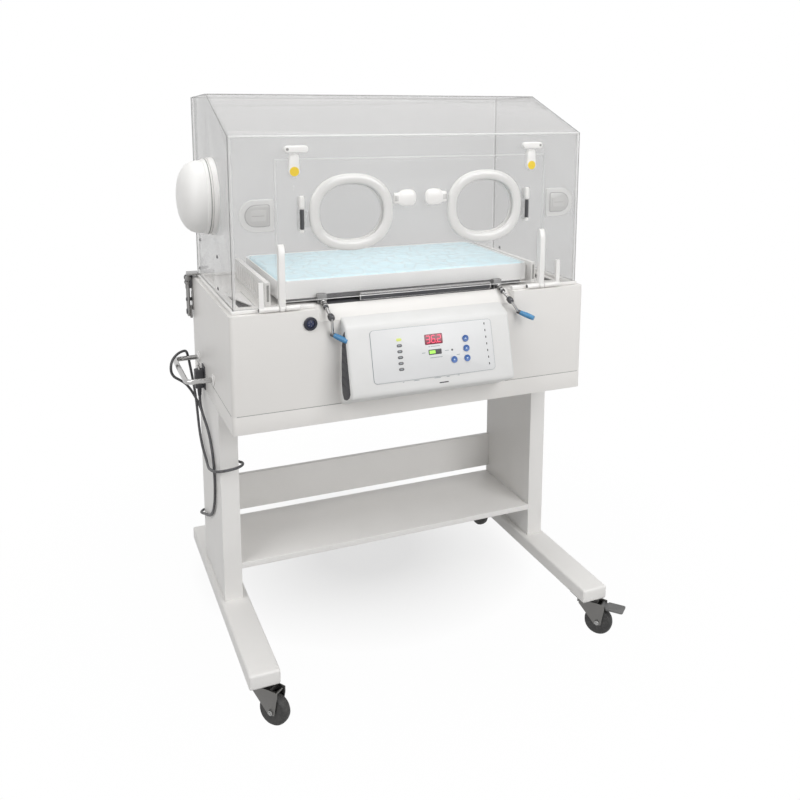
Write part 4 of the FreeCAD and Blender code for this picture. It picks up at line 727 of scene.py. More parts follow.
def lead_connector():
    """The socket on the lead's other end, its relief pointing down."""
    pin_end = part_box("lead_connector")[1][2]
    x, y = -0.479, 0.135
    ribs = strain_relief(5, 0.0044, (0, 0.0028, 0.003, 0.0042), 0.0041)
    parts = [
        block((-0.49, 0.122, 0.655), (-0.468, 0.148, 0.705), 0.004, 3),
        lathe(ribs, (x, y, 0.633), (0, 0, 1), 24),
    ]
    for side in (LEFT, RIGHT):
        pin = rod((x, y + side * 0.007, 0.704), (x, y + side * 0.007, pin_end), 0.003)
        parts.append((pin, 1))
    return joined(
        "connector_shape", parts, [SLOT_BLACK, CHROME], "stand", replaces=("lead_connector",),
        slot="cord_rubber",
    )


# Stand

def stand():
    """The painted feet, legs, shelf and rail, and the steel mounts of the casters."""
    softened("stand_feet", STAND_PAINT, 0.006, 3)
    softened("stand_legs", STAND_PAINT, 0.004, 3)
    softened("shelf", STAND_PAINT, 0.003, 2)
    softened("rear_rail", STAND_PAINT, 0.003, 2)
    softened("caster_mounts", FORK_STEEL, 0.0008)


def caster(corner):
    """A grey steel fork and a dark wheel with a dished hub."""
    softened("caster_fork_" + corner, FORK_STEEL, 0.0008, 2)
    joint = next(j for j in frame["joints"] if j["name"] == corner + "_roll")
    centre = Vector(joint["pos_m"])
    way = Vector(joint["axis"]).normalized()
    half = 0.013
    tread = [
        (-half, 0.0155), (-half, 0.0285), (-half + 0.0005, 0.033), (-half + 0.0035, 0.0358),
        (-half + 0.008, 0.0372), (0, 0.0375), (half - 0.008, 0.0372), (half - 0.0035, 0.0358),
        (half - 0.0005, 0.033), (half, 0.0285), (half, 0.0155),
    ]
    hub = []
    for sign in (-1, 1):
        face = [
            (sign * half * 0.75, 0.0285), (sign * half * 0.72, 0.025), (sign * half * 0.55, 0.022),
            (sign * half * 0.55, 0.014), (sign * half * 0.98, 0.0125), (sign * half * 1.03, 0.0105),
            (sign * half * 1.03, 0.0048),
        ]
        hub.append((lathe(face, centre, way, 36), 1))
    wheel = [lathe(tread, centre, way, 56), *hub]
    joined(
        "wheel_" + corner, wheel, [TYRE, HUB_GREY], "caster_wheel_" + corner,
        replaces=("caster_wheel_" + corner,), slot="wheel_rubber",
    )
    bolts = []
    for sign in (-1, 1):
        start = centre + way * (0.017 * sign)
        bolts.append(lathe([(0, 0.0066), (0.0028, 0.0066), (0.0034, 0.0058)], start, way * sign, 6))
        bolts.append(lathe([(0.0034, 0.0032), (0.0048, 0.0028)], start, way * sign, 16))
    joined("axle_nuts_" + corner, bolts, ZINC, "caster_fork_" + corner, slot="caster_steel")


def brake_pedal(corner):
    """A grey plastic pedal that swivels with its caster."""
    softened("brake_pedal_" + corner, PEDAL_GREY, 0.0012, 2)


# Cabinet

def crank_block_face(face):
    """The cranks' bearing blocks are bare metal on the painted deck."""
    x, y, z = face.calc_center_median()
    return 1 if z > DECK + 0.0005 and 0.22 < abs(x) < 0.25 and y < -0.17 else 0


def cabinet():
    """The painted body with its seam, return grille and vents in the deck, and the bottom pan."""
    softened("cabinet_body", [WHITE_PAINT, BRUSHED], 0.0035, 3, choose=crank_block_face)
    softened("bottom_pan", WHITE_PAINT, 0.003, 2)
    low, high = SEAM
    seams = [block((-0.4552, FRONT - 0.0004, low), (0.4552, FRONT + 0.001, high), 0.0002, 1)]
    for x in (-0.4654, 0.4644):
        seams.append(block((x, -0.226, low), (x + 0.001, 0.28, high), 0.0002, 1))
    joined("cabinet_seams", seams, SEAM_AND_SHADE_GREY, "stand")
    bars = []
    first_bar, bar_pitch = -0.144, 0.024
    for number in range(13):
        x = first_bar + number * bar_pitch
        front, back = (x - 0.002, -0.0335, DECK - 0.006), (x + 0.002, 0.0875, DECK - 0.0006)
        bars.append(block(front, back, 0.0006, 1))
    joined("return_air_grille", bars, WHITE_PLASTIC, "stand")
    lip = [
        (-0.2066, 0.921), (-0.2069, 0.9215), (-0.1932, 0.9308), (-0.15, 0.9308), (-0.15, 0.9302),
        (-0.193, 0.9302),
    ]
    dark = [slab(lip, "x", -0.222, 0.222, 0)]
    for side in (LEFT, RIGHT):
        low, high = span(side, 0.3865, 0.4235)
        dark.append(block((low, -0.1465, DECK - 0.012), (high, 0.0205, DECK - 0.0095), 0.0003, 1))
    joined("deck_shadow_gaps", dark, SLOT_BLACK, "stand")
    flaps = []
    for side in (LEFT, RIGHT):
        corners = (
            (0.3855, -0.1465), (0.3885, -0.1475), (0.4245, -0.008), (0.4245, 0.0215), (0.3855, 0.0215),
        )
        outline = [(side * x, y) for x, y in corners]
        flaps.append(slab(outline, "z", DECK - 0.0045, DECK - 0.0008, 0.0008, 1))
    joined("deck_vent_flaps", flaps, WHITE_PLASTIC, "stand")


def probe_socket():
    """A round five-pin socket for the skin probe."""
    x, y, z = -0.279, FRONT, 0.898
    out = (0, -1, 0)
    ring = [
        (0, 0.0162), (0.003, 0.0162), (0.0048, 0.0148), (0.005, 0.0105), (0.0034, 0.0095),
        (0.002, 0.009),
    ]
    inner = [(0.0021, 0.0089), (0.0023, 0.0085), (0.0024, 0.0015), (0.0024, 0.0001)]
    parts = [lathe(ring, (x, y, z), out, 40), (lathe(inner, (x, y, z), out, 32), 1)]
    for turn in range(5):
        angle = turn * 2 * math.pi / 5
        start = (x + 0.005 * math.cos(angle), y - 0.0023, z + 0.005 * math.sin(angle))
        parts.append((lathe([(0, 0.0009), (0.0018, 0.0009), (0.0022, 0.0004)], start, out, 10), 2))
    joined(
        "probe_socket_shape", parts, [SOCKET_BLACK, SOCKET_BLUE, CHROME], "stand",
        replaces=("probe_socket",), slot="socket_blue",
    )


def side_handles():
    """Chrome tube handles on white roses."""
    tubes = []
    roses = []
    rose = [(0, 0.0145), (0.002, 0.0145), (0.0036, 0.012), (0.004, 0.0072), (0.0055, 0.0068)]
    root, bend, reach = 0.4652, 0.018, 0.5305
    y_front, y_back, z = -0.011, 0.205, 0.718
    turns = [math.pi / 2 * step / 8 for step in range(9)]
    for side in (LEFT, RIGHT):
        points = [(side * root, y_front, z)]
        for turn in turns:
            x = side * (reach - bend + bend * math.sin(turn))
            points.append((x, y_front + bend - bend * math.cos(turn), z))
        for turn in turns:
            x = side * (reach - bend + bend * math.cos(turn))
            points.append((x, y_back - bend + bend * math.sin(turn), z))
        points.append((side * root, y_back, z))
        tubes.append(bent_bar(points, 0.0065, 20))
        for y in (y_front, y_back):
            roses.append((lathe(rose, (side * CABINET_SIDE, y, z), (side, 0, 0), 36), 1))
    joined(
        "handle_shapes", tubes + roses, [CHROME, WHITE_PLASTIC], "stand",
        replaces=("side_handles",), slot="chrome_trim",
    )


def hood_hinges():
    """Hinges at the hood's rear corners, each with a slotted catch that hangs down the side."""
    softened("hinge_plates", HINGE_STEEL, 0.0008, 2)
    softened("hinge_leaves", HINGE_STEEL, 0.0008, 2)
    parts = []
    y = 0.276
    plate, catch_end, loop_x = 0.4682, 0.4835, 0.4775
    for side in (LEFT, RIGHT):
        loop = []
        for centre, first in ((0.9, 0), (0.83, math.pi)):
            for across, up in arc((y, centre), 0.0108, first, math.pi, 12):
                loop.append((side * loop_x, across, up))
        parts.append(bent_bar(loop + loop[:1], 0.0036, 12))
        for z, radius, index in ((0.9, 0.0062, 0), (0.83, 0.0072, 1), (0.864, 0.0048, 1)):
            parts.append((rod((side * plate, y, z), (side * catch_end, y, z), radius), index))
        for z, out, radius in ((0.924, 0.478, 0.0074), (0.911, 0.4795, 0.0052)):
            x = side * out
            parts.append(rod((x, y - 0.015, z), (x, y + 0.015, z), radius, 0.0012))
            parts.append((rod((x, y - 0.0035, z), (x, y + 0.0035, z), radius + 0.0012), 1))
        low, high = span(side, plate, 0.4745)
        parts.append((block((low, y - 0.0135, 0.9), (high, y + 0.0135, 0.931), 0.0015, 2), 1))
        parts.append((block((low, y - 0.0085, 0.812), (high, y + 0.0085, 0.846), 0.0015, 2), 0))
    joined("hinge_catches", parts, [HINGE_STEEL, DARK_STEEL], "stand", slot="chrome_trim")


def power_inlet():
    """The mains inlet on the left side, behind the lead's connector."""
    softened("power_inlet", SLOT_BLACK, 0.0006, 2)


# Hood

# The hood's side view as (y, z): front, slope, roof and back
HOOD_LINE = [(-0.216, 0.9386), (-0.216, 1.33), (0.034, 1.42), (0.254, 1.41), (0.254, 0.9386)]


def hood_face(face):
    """Clear in front, a darker copy on the roof and back as painted shade, and a painted highlight on the cut
    edges.
    """
    if is_edge(face):
        return 2
    return 1 if face.calc_center_median().y > 0.03 else 0


def hood():
    """The clear sheet and ends, painted highlights and shade on their edges, the rim, the air ducts and the
    screws.
    """
    softened("hood_sheet", [ACRYLIC, ACRYLIC_BACK_SHADED, ACRYLIC_EDGE_HIGHLIGHT], 0.0012, 2, choose=hood_face)
    # The far end, on the right, gets a darker copy of the acrylic as painted shade, and the cut edges a painted
    # highlight
    softened(
        "hood_ends", [ACRYLIC_END, ACRYLIC_EDGE_HIGHLIGHT, ACRYLIC_FAR_SHADED], 0.0012, 2,
        choose=lambda face: 1 if is_edge(face) else 2 * (face.calc_center_median().x > 0),
    )
    softened("hood_rim", WHITE_PLASTIC, 0.0018, 3)
    softened("air_ducts", WHITE_PLASTIC, 0.0012, 2)
    # Dark grey bars paint the shade inside the ducts' end slots
    slots = []
    for side in (LEFT, RIGHT):
        x = side * 0.358
        slots.append(block((x - 0.0028, -0.1586, 0.9395), (x + 0.0028, -0.1576, 0.979), 0.0004, 1))
    joined("duct_end_slots", slots, SEAM_AND_SHADE_GREY, BODY_OF["air_ducts"])
    # Dark rods along the ends' outlines and the roof's corners are painted shade on the sheet's edges; the
    # brighter rods on the front corners are painted highlights
    lines = []
    for x in (-0.4518, 0.4518):
        corners = [(x, y + 0.0004, z - 0.0004) for y, z in HOOD_LINE]
        for start, end in zip(corners, corners[1:]):
            lines.append(rod(start, end, 0.0011, steps=8))
    for y, z in HOOD_LINE[2:4]:
        lines.append(rod((-0.45, y, z - 0.0006), (0.45, y, z - 0.0006), 0.0012, steps=8))
    y, z = HOOD_LINE[1][0] + 0.0016, HOOD_LINE[1][1] - 0.0012
    lines.append((rod((-0.4495, y, z), (0.4495, y, z), 0.0026, steps=10), 1))
    for x in (-0.447, 0.447):
        lines.append((rod((x, -0.2142, 0.94), (x, -0.2142, 1.327), 0.0024, steps=8), 1))
    joined("hood_edge_lines", lines, [EDGE_SHADE_LINE, EDGE_GLEAM], "hood", slot="clear_acrylic")
    screws = []
    head = [(0, 0.0046), (0.001, 0.0044), (0.002, 0.0024)]
    for side in (LEFT, RIGHT):
        for y, z in ((-0.047, 1.035), (-0.044, 0.956), (0.197, 1.039), (0.215, 0.96)):
            screws.append(lathe(head, (side * HOOD_SIDE, y, z), (side, 0, 0), 18))
    joined("hood_screws", screws, SLOT_BLACK, "hood")


def iris_port():
    """White flange and a deep domed cover with a rolled rim."""
    y, z, cover_x = -0.016, 1.178, -0.4643
    out = (-1, 0, 0)
    flange = [
        (0, 0.076), (0, 0.0935), (0.0015, 0.094), (0.006, 0.094), (0.0085, 0.0925), (0.012, 0.0922),
        (0.012, 0.0762), (0.0118, 0.076),
    ]
    joined(
        "iris_flange_shape", [lathe_ring(flange, (-HOOD_SIDE, y, z), out, 72)], WHITE_PLASTIC, "hood",
        replaces=("iris_flange",), slot="white_plastic",
    )
    dome = [
        (0.0, 0.0755), (0.0, 0.0888), (0.003, 0.09), (0.0095, 0.09), (0.0125, 0.0888),
        (0.0138, 0.0868), (0.018, 0.0866), (0.028, 0.0862), (0.036, 0.0845), (0.043, 0.0812),
        (0.05, 0.0755), (0.057, 0.067), (0.0628, 0.0565), (0.0668, 0.0445), (0.0694, 0.0315),
        (0.0709, 0.018), (0.0714, 0.0),
    ]
    cover = lathe(dome, (cover_x, y, z), out, 72)
    rim = [(0.0042, 0.0896), (0.0042, 0.0904), (0.0062, 0.0904), (0.0062, 0.0896)]
    seam = lathe_ring(rim, (cover_x, y, z), out, 72)
    joined(
        "iris_cover_shape", [cover, (seam, 1)], [SOFT_WHITE, SEAM_AND_SHADE_GREY], "iris_cover",
        replaces=("iris_cover",), slot="white_plastic",
    )


def half_round(side, flat, reach, z, radius):
    """A D outline, its flat side towards the door."""
    bow = arc((reach - radius, z), radius, math.pi / 2, -math.pi, 24)
    return [(side * x, up) for x, up in bow] + [
        (side * (flat + 0.003), z - radius), (side * flat, z - radius + 0.003),
        (side * flat, z + radius - 0.003), (side * (flat + 0.003), z + radius),
    ]


def grommets():
    """D-shaped pads, each with a sunk window and a slit flap for tubes."""
    front, z = HOOD_FACE, PORT_Z
    pads = []
    for side in (LEFT, RIGHT):
        pad = half_round(side, 0.354, 0.433, z, 0.037)
        shade = half_round(side, 0.3635, 0.4205, z, 0.0255)
        window = half_round(side, 0.3655, 0.4185, z, 0.0235)
        pads.append(slab(pad, "y", front + 0.0004, front + 0.007, 0.0022, 3))
        pads.append((slab(shade, "y", front + 0.0001, front + 0.003, 0), 1))
        pads.append(slab(window, "y", front - 0.0003, front + 0.003, 0.0005))
        low, high = span(side, 0.372, 0.408)
        pads.append(block((low, front - 0.001, z - 0.0125), (high, front, z + 0.0125), 0.0004, 1))
        low, high = span(side, 0.376, 0.404)
        slit = block((low, front - 0.0012, z - 0.0006), (high, front - 0.0009, z + 0.0006), 0.0001, 1)
        pads.append((slit, 1))
    joined(
        "grommet_pads", pads, [SILICONE, SILICONE_SHADE], "hood",
        replaces=("tube_grommets",), slot="white_plastic",
    )


def door_rods():
    """The short rods that the door's arms turn on, with a dark screw in each end."""
    softened("door_hinge_rods", WHITE_PLASTIC, 0.0016, 3)
    screws = []
    head = [(-0.0002, 0.0044), (0.0008, 0.0042), (0.0012, 0.0026)]
    for side in (LEFT, RIGHT):
        for x, way in ((0.3, -side), (0.396, side)):
            screws.append(lathe(head, (side * x, ROD_Y, ROD_Z), (way, 0, 0), 18))
    joined("door_rod_screws", screws, SLOT_BLACK, "hood")


def turn_button(side, word):
    """A long pill with a shallow crown, on a post beside the door."""
    start, end = side * 0.324, side * 0.282
    front, back, z, half = -0.237, -0.2265, 1.301, 0.008
    outline = []
    for x, first, inset in ((start, -math.pi / 2, -0.001), (end, math.pi / 2, 0.001)):
        for step in range(13):
            turn = first + math.pi * step / 12
            outline.append((
                x + side * half * math.cos(turn) + side * inset, z + half * math.sin(turn),
            ))
    parts = [
        slab(outline, "y", front, back, 0.003, 4),
        rod((start, -0.2275, z), (start, DOOR_FACE, z), 0.004),
        (lathe([(0, 0.0036), (0.0006, 0.0032)], (start, front + 0.0004, z), (0, -1, 0), 18), 1),
    ]
    joined(
        "turn_button_" + word, parts, [WHITE_PLASTIC, SEAM_AND_SHADE_GREY], "door_turn_" + word,
        replaces=("door_turn_" + word,), slot="white_plastic",
    )


# Front door

def front_door():
    """The clear door with its round-ended catch tabs and the arms that it folds down on."""
    # The door's cut edges get a painted highlight.
    softened(
        "front_door", [ACRYLIC, ACRYLIC_EDGE_HIGHLIGHT], 0.0012, 2, choose=lambda face: int(is_edge(face)),
    )
    lines = []
    y, radius = -0.2157, 0.0009
    for x in (-0.3478, 0.3478):
        lines.append(rod((x, y, 0.95), (x, y, 1.2765), radius, steps=8))
    for z in (0.9485, 1.2768):
        lines.append(rod((-0.347, y, z), (0.347, y, z), radius, steps=8))
    joined("door_edge_lines", lines, EDGE_GLEAM, "front_door", slot="clear_acrylic")
    parts = []
    dots = []
    tab_front = -0.226
    arm = [
        (-0.2335, 0.936), (-0.234, 1.0616), (-0.2315, 1.076), (-0.226, 1.0856), (-0.22, 1.0856),
        (DOOR_FACE, 1.066), (DOOR_FACE, 0.952), (-0.223, 0.9406), (-0.223, 0.936),
    ]
    disc = [(0, 0.0108), (0.0006, 0.0105), (0.0007, 0.0)]
    for side in (LEFT, RIGHT):
        x = side * TAB_X
        outline = arc((x, 1.251), 0.0129, math.pi, math.pi, 16)
        outline += [(x + 0.0108, 1.286), (x + 0.008, 1.29), (x - 0.008, 1.29), (x - 0.0108, 1.286)]
        parts.append(slab(outline, "y", tab_front, DOOR_FACE, 0.0024, 3))
        low, high = span(side, 0.334, 0.3485)
        parts.append(slab(arm, "x", low, high, 0.003, 3))
        low, high = span(side, 0.336, 0.348)
        parts.append(rod((low, ROD_Y, ROD_Z), (high, ROD_Y, ROD_Z), 0.0072, 0.001))
        dots.append(lathe(disc, (x, tab_front, 1.2505), (0, -1, 0), 32))
    joined(
        "door_fitting_shapes", parts, WHITE_PLASTIC, "front_door", replaces=("door_fittings",),
        slot="white_plastic",
    )
    joined("tab_dots", dots, LABEL_YELLOW, "front_door")


def port_frames():
    """Port rings, their hinge strips and the latch bases, on the door."""
    parts = []
    up = (0, 0, 1)
    section = [
        (0.0, -0.216), (0.0, -0.2222), (0.002, -0.2236), (0.010, -0.2239), (0.018, -0.2236),
        (0.02, -0.2222), (0.02, -0.216),
    ]
    upper = [
        (0, 0.0042), (0.002, 0.0058), (0.006, 0.0061), (0.024, 0.0061), (0.028, 0.0058), (0.030, 0.004),
    ]
    lower = [(0, 0.0038), (0.001, 0.0048), (0.006, 0.0048), (0.007, 0.004)]
    barrel_y, hinge_y = -0.2302, PORT_HINGE_Y
    for side in (LEFT, RIGHT):
        parts.append(oval_band((side * PORT_X, PORT_Z), 0.076, 0.064, section, 2.35))
        x = side * PORT_HINGE_X
        pad = arc((x, 1.1855), 0.0085, 0, math.pi, 12) + arc((x, 1.1205), 0.0085, math.pi, math.pi, 12)
        parts.append((slab(pad, "y", -0.2185, -0.216, 0.0008, 2), 1))
        parts.append(lathe(upper, (x, barrel_y, 1.1655), up, 24))
        parts.append(block((x - 0.0045, -0.2275, 1.168), (x + 0.0045, -0.2165, 1.193), 0.0015, 2))
        parts.append(lathe(lower, (x, barrel_y, 1.111), up, 20))
        parts.append(block((x - 0.0035, -0.2275, 1.1115), (x + 0.0035, -0.2165, 1.1175), 0.001, 2))
        parts.append((rod((x, hinge_y, 1.112), (x, hinge_y, 1.194), 0.0022), 2))
        x = side * 0.049
        parts.append(block((x - 0.016, -0.2238, 1.169), (x + 0.016, -0.216, 1.193), 0.0028, 3))
    joined(
        "port_frame_shapes", parts, [WHITE_PLASTIC, LID_PANE, CHROME], "front_door",
        replaces=("port_frames",), slot="white_plastic",
    )


def port_lid(side, word):
    """The lid: a rounded white rim round a clear pane, with its sprung hinge barrel."""
    centre = (side * PORT_X, PORT_Z)
    section = [(-0.0235, -0.2248), (-0.0242, -0.2285)]
    for step in range(15):
        turn = math.pi * step / 14
        section.append((-0.0121 - 0.0119 * math.cos(turn), -0.2298 - 0.0065 * math.sin(turn)))
    section += [(0.0, -0.2285), (-0.001, -0.2248), (-0.004, -0.2243), (-0.020, -0.2243)]
    parts = [oval_band(centre, 0.102, 0.09, section, 2.3)]
    parts.append((oval_plate(centre, 0.0788, 0.0668, -0.2315, -0.2293, 2.35), 1))
    low, high = span(side, PORT_HINGE_X, 0.2685)
    parts.append((block((low, -0.2318, 1.124), (high, -0.2288, 1.160), 0.0012, 2), 1))
    wire, gap, pitch = 0.0052, 0.0038, 0.003
    coils = []
    for number in range(15):
        along = number * pitch
        coils += [(along, wire), (along + 0.0015, wire), (along + 0.0018, gap), (along + 0.0028, gap)]
    parts.append((lathe(coils, (side * PORT_HINGE_X, PORT_HINGE_Y, 1.1192), (0, 0, 1), 20), 2))
    joined(
        "port_lid_shape_" + word, parts, [MILKY_RIM, LID_PANE, DARK_STEEL],
        "port_lid_" + word, replaces=("port_lid_" + word,), slot="white_plastic",
    )


def port_latch(side, word):
    """A press latch: a narrow neck by the lid's rim that swells into a rounded thumb knob."""
    start = (side * 0.069, -0.2302, 1.181)
    profile = [
        (0, 0.008), (0.001, 0.0118), (0.003, 0.0132), (0.011, 0.0136), (0.0142, 0.0148),
        (0.0175, 0.0176), (0.024, 0.0196), (0.034, 0.0202), (0.043, 0.0198), (0.0495, 0.0182),
        (0.0538, 0.0152), (0.0562, 0.0102), (0.0572, 0.0),
    ]
    flatness = 0.3
    knob = lathe(profile, start, (-side, 0, 0), 48)
    for vert in knob.vertices:
        vert.co.y = start[1] + (vert.co.y - start[1]) * flatness
    grooves = []
    # Three dark bars paint the shade in the knob's grip grooves
    first_groove, groove_pitch = 0.0665, 0.0034
    for number in range(3):
        x = side * (first_groove - number * groove_pitch)
        groove = block((x - 0.0007, -0.2345, 1.1745), (x + 0.0007, -0.2325, 1.1875), 0.0003, 1)
        grooves.append((groove, 1))
    joined(
        "port_latch_shape_" + word, [knob, *grooves], [WHITE_PLASTIC, SEAM_AND_SHADE_GREY], "port_latch_" + word,
        replaces=("port_latch_" + word,), slot="white_plastic",
    )


# Bed

def bed():
    """The tilt frame, darkened as painted shade, the channel that shows under the tray, black inside as painted
    shade, and the tray.
    """
    # The frame is dark steel as painted shade where it shows in the gap under the tray
    softened("tilt_frame", DARK_STEEL, 0.001, 2)
    softened("mattress_tray", TRAY_PLASTIC, 0.0014, 2)
    shade = [block((-0.222, -0.1712, 0.9438), (0.232, -0.1698, 0.9505), 0.0003, 1)]
    joined("tray_shadow_strip", shade, SLOT_BLACK, "mattress_tray")
    front, back, low, high = -0.1925, -0.184, 0.9312, 0.9492
    left, right = -0.142, 0.214
    bar = [
        block((left, front, high - 0.0034), (right, back, high), 0.0006, 1),
        block((left, front, low), (right, back, low + 0.0016), 0.0005, 1),
        block((left, front, low), (left + 0.003, back, high), 0.0006, 1),
        block((right - 0.003, front, low), (right, back, high), 0.0006, 1),
    ]
    start, end = left + 0.002, right - 0.002
    # Black plates inside the chrome channel paint the shade in its hollow
    for bottom, top in (
        ((start, back - 0.0015, low + 0.001), (end, back, high - 0.001)),
        ((start, front + 0.0008, low + 0.0012), (end, front + 0.003, high - 0.002)),
    ):
        bar.append((block(bottom, top, 0.0002, 1), 1))
    for x in (-0.12, 0.036, 0.19):
        strap = block((x - 0.006, back - 0.001, low + 0.002), (x + 0.006, -0.157, 0.943), 0.0008, 1)
        bar.append((strap, 2))
    joined("bed_front_bar", bar, [CHROME, SLOT_BLACK, DARK_STEEL], "tilt_frame", slot="frame_metal")


def mattress():
    """A crowned foam pad in a crinkled cover that fills the tray to its rim."""
    low, high = (Vector(corner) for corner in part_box("mattress"))
    middle, half = (low + high) / 2, (high - low) / 2
    across, deep, corner, roll, crown = 150, 90, 0.024, 0.009, 0.005
    bm = bmesh.new()

    def spot(i, j):
        """Where a grid point lies in plan, and how far in from the edge it is."""
        place = []
        for number, count, reach in ((i, across, half.x), (j, deep, half.y)):
            share = 2 * number / count - 1
            place.append((0.55 * share + 0.45 * math.sin(share * math.pi / 2)) * reach)
        x, y = place
        inset = min(half.x - abs(x), half.y - abs(y))
        over_x, over_y = abs(x) - (half.x - corner), abs(y) - (half.y - corner)
        if over_x > 0 and over_y > 0:
            inset = corner - max(over_x, over_y)
            shrink = max(over_x, over_y) / math.hypot(over_x, over_y)
            x = math.copysign(half.x - corner + over_x * shrink, x)
            y = math.copysign(half.y - corner + over_y * shrink, y)
        return x, y, inset

    def grid(sign):
        """The points of the top, crowned and creased, or of the flat bottom."""
        rows = []
        for j in range(deep + 1):
            row = []
            for i in range(across + 1):
                x, y, inset = spot(i, j)
                into = max(roll - inset, 0)
                fall = roll - math.sqrt(max(roll * roll - into * into, 0))
                if sign > 0:
                    level = min(inset / 0.05, 1)
                    broad = noise.noise(Vector((x * 38, y * 30, 0.3)))
                    folds = broad + 0.6 * noise.noise(Vector((x * 95, y * 80, 4.1)))
                    dome = crown * (1 - (x / half.x) ** 2) * (1 - (y / half.y) ** 2)
                    z = high.z + 0.0006 + dome + 0.0011 * folds * level - fall
                else:
                    z = low.z + fall
                row.append(bm.verts.new((middle.x + x, middle.y + y, z)))
            rows.append(row)
        return rows

    top, bottom = grid(1), grid(-1)
    for rows in (top, bottom):
        for j in range(deep):
            for i in range(across):
                bm.faces.new((rows[j][i], rows[j][i + 1], rows[j + 1][i + 1], rows[j + 1][i]))
    border = (
        [(0, i) for i in range(across)] + [(j, across) for j in range(deep)]
        + [(deep, i) for i in range(across, 0, -1)] + [(j, 0) for j in range(deep, 0, -1)]
    )
    for (j, i), (k, l) in zip(border, border[1:] + border[:1]):
        bm.faces.new((top[j][i], bottom[j][i], bottom[k][l], top[k][l]))
    pad = finished(
        "mattress_pad", to_mesh(bm, "mattress_pad"), MATTRESS, "mattress_tray",
        replaces=("mattress",), slot="mattress_cover", smooth=60,
    )


# How far the cranks' shafts point down towards the front
CRANK_LEAN = math.radians(20)


def crank(side, word, arm_turn):
    """A chrome shaft in a bearing, a dark joint, a short arm and a ribbed blue grip."""
    base = Vector((side * 0.235, -0.183, 0.941))
    out = Vector((0, -math.cos(CRANK_LEAN), -math.sin(CRANK_LEAN)))
    up = Vector((0, -math.sin(CRANK_LEAN), math.cos(CRANK_LEAN)))
    turn = math.radians(arm_turn)
    arm = Vector((-math.sin(turn), 0, 0)) + up * math.cos(turn)
    reach = 0.088
    tip = base + out * (reach - 0.003) + arm * 0.046
    joint = [
        (0, 0.0052), (0.001, 0.0072), (0.006, 0.008), (0.010, 0.008), (0.0145, 0.0072), (0.016, 0.0055),
    ]
    grip = [(0, 0.004)]
    for number in range(9):
        along = 0.002 + number * 0.0042
        swell = 0.0060 + 0.0009 * math.sin(math.pi * number / 8)
        groove = swell - 0.0006
        grip += [(along, swell), (along + 0.0026, swell)]
        grip += [(along + 0.003, groove), (along + 0.004, groove)]
    grip += [(0.0395, 0.0045), (0.040, 0.001)]
    grip_way = (out + Vector((0.75, 0, 0))).normalized()
    parts = [
        rod(base - out * 0.01, base + out * (reach - 0.014), 0.004),
        rod(base + out * 0.012, base + out * 0.018, 0.0072),
        (rod(base + out * 0.026, base + out * 0.040, 0.0062), 1),
        rod(base + out * 0.030, base + out * 0.036, 0.0068),
        (lathe(joint, base + out * (reach - 0.016), out, 28), 1),
        bent_bar([base + out * (reach - 0.003), tip], 0.0034, 12),
        (rod(tip - grip_way * 0.004, tip + grip_way * 0.006, 0.0055), 1),
        (lathe(grip, tip + grip_way * 0.004, grip_way, 28), 2),
    ]
    joined(
        "crank_shape_" + word, parts, [CHROME, DARK_STEEL, GRIP_BLUE], "tilt_crank_" + word,
        replaces=("tilt_crank_" + word,), slot="crank_blue",
    )


# Control module

# The panel's face: how it leans, how far right its middle is, its top and its directions
FACE_LEAN = math.radians(15.8)
FACE_SHIFT = 0.009
FACE_TOP = Vector((0, FRONT - 0.038, DECK - 0.042))
FACE_DOWN = Vector((0, -math.sin(FACE_LEAN), -math.cos(FACE_LEAN)))
FACE_OUT = Vector((0, -math.cos(FACE_LEAN), math.sin(FACE_LEAN)))


def on_face(across, drop, lift=0.0):
    """A point on the leaning face, in millimetres across, down and out of it."""
    return (
        Vector((FACE_SHIFT + across / 1000, 0, 0)) + FACE_TOP + FACE_DOWN * (drop / 1000)
        + FACE_OUT * (lift / 1000)
    )


def face_plate(outline, low, high, ease=0.0003):
    """A plate on the leaning face with an outline in face millimetres."""
    mesh = slab([(x / 1000, -s / 1000) for x, s in outline], "z", low / 1000, high / 1000, ease)
    for vert in mesh.vertices:
        x, y, z = vert.co
        vert.co = Vector((FACE_SHIFT + x, 0, 0)) + FACE_TOP - FACE_DOWN * y + FACE_OUT * z
    return mesh


def face_box(centre_x, centre_s, width, height, low, high, corner=0.0, ease=0.0003):
    """A rectangle on the face with rounded corners."""
    outline = []
    half_w, half_h = width / 2 - corner, height / 2 - corner
    for sign_x, sign_s, first in ((1, 1, 0), (-1, 1, 90), (-1, -1, 180), (1, -1, 270)):
        steps = 5 if corner else 1
        for step in range(steps):
            turn = math.radians(first + (90 * step / (steps - 1) if steps > 1 else 45))
            outline.append((
                centre_x + sign_x * half_w + corner * math.cos(turn),
                centre_s + sign_s * half_h + corner * math.sin(turn),
            ))
    return face_plate(outline, low, high, ease)


# Where each bar of a digit lies, in half widths and half heights, and whether it is level
SEGMENTS = {
    "top": (0, -1, True), "middle": (0, 0, True), "bottom": (0, 1, True),
    "high_left": (-1, -0.5, False), "high_right": (1, -0.5, False),
    "low_left": (-1, 0.5, False), "low_right": (1, 0.5, False),
}
DIGITS = {
    "3": ("top", "middle", "bottom", "high_right", "low_right"),
    "6": ("top", "middle", "bottom", "high_left", "low_left", "low_right"),
    "2": ("top", "middle", "bottom", "high_right", "low_left"),
}
# How far out of the face the digits start and end
DIGIT_LIFT = (2.3, 2.5)
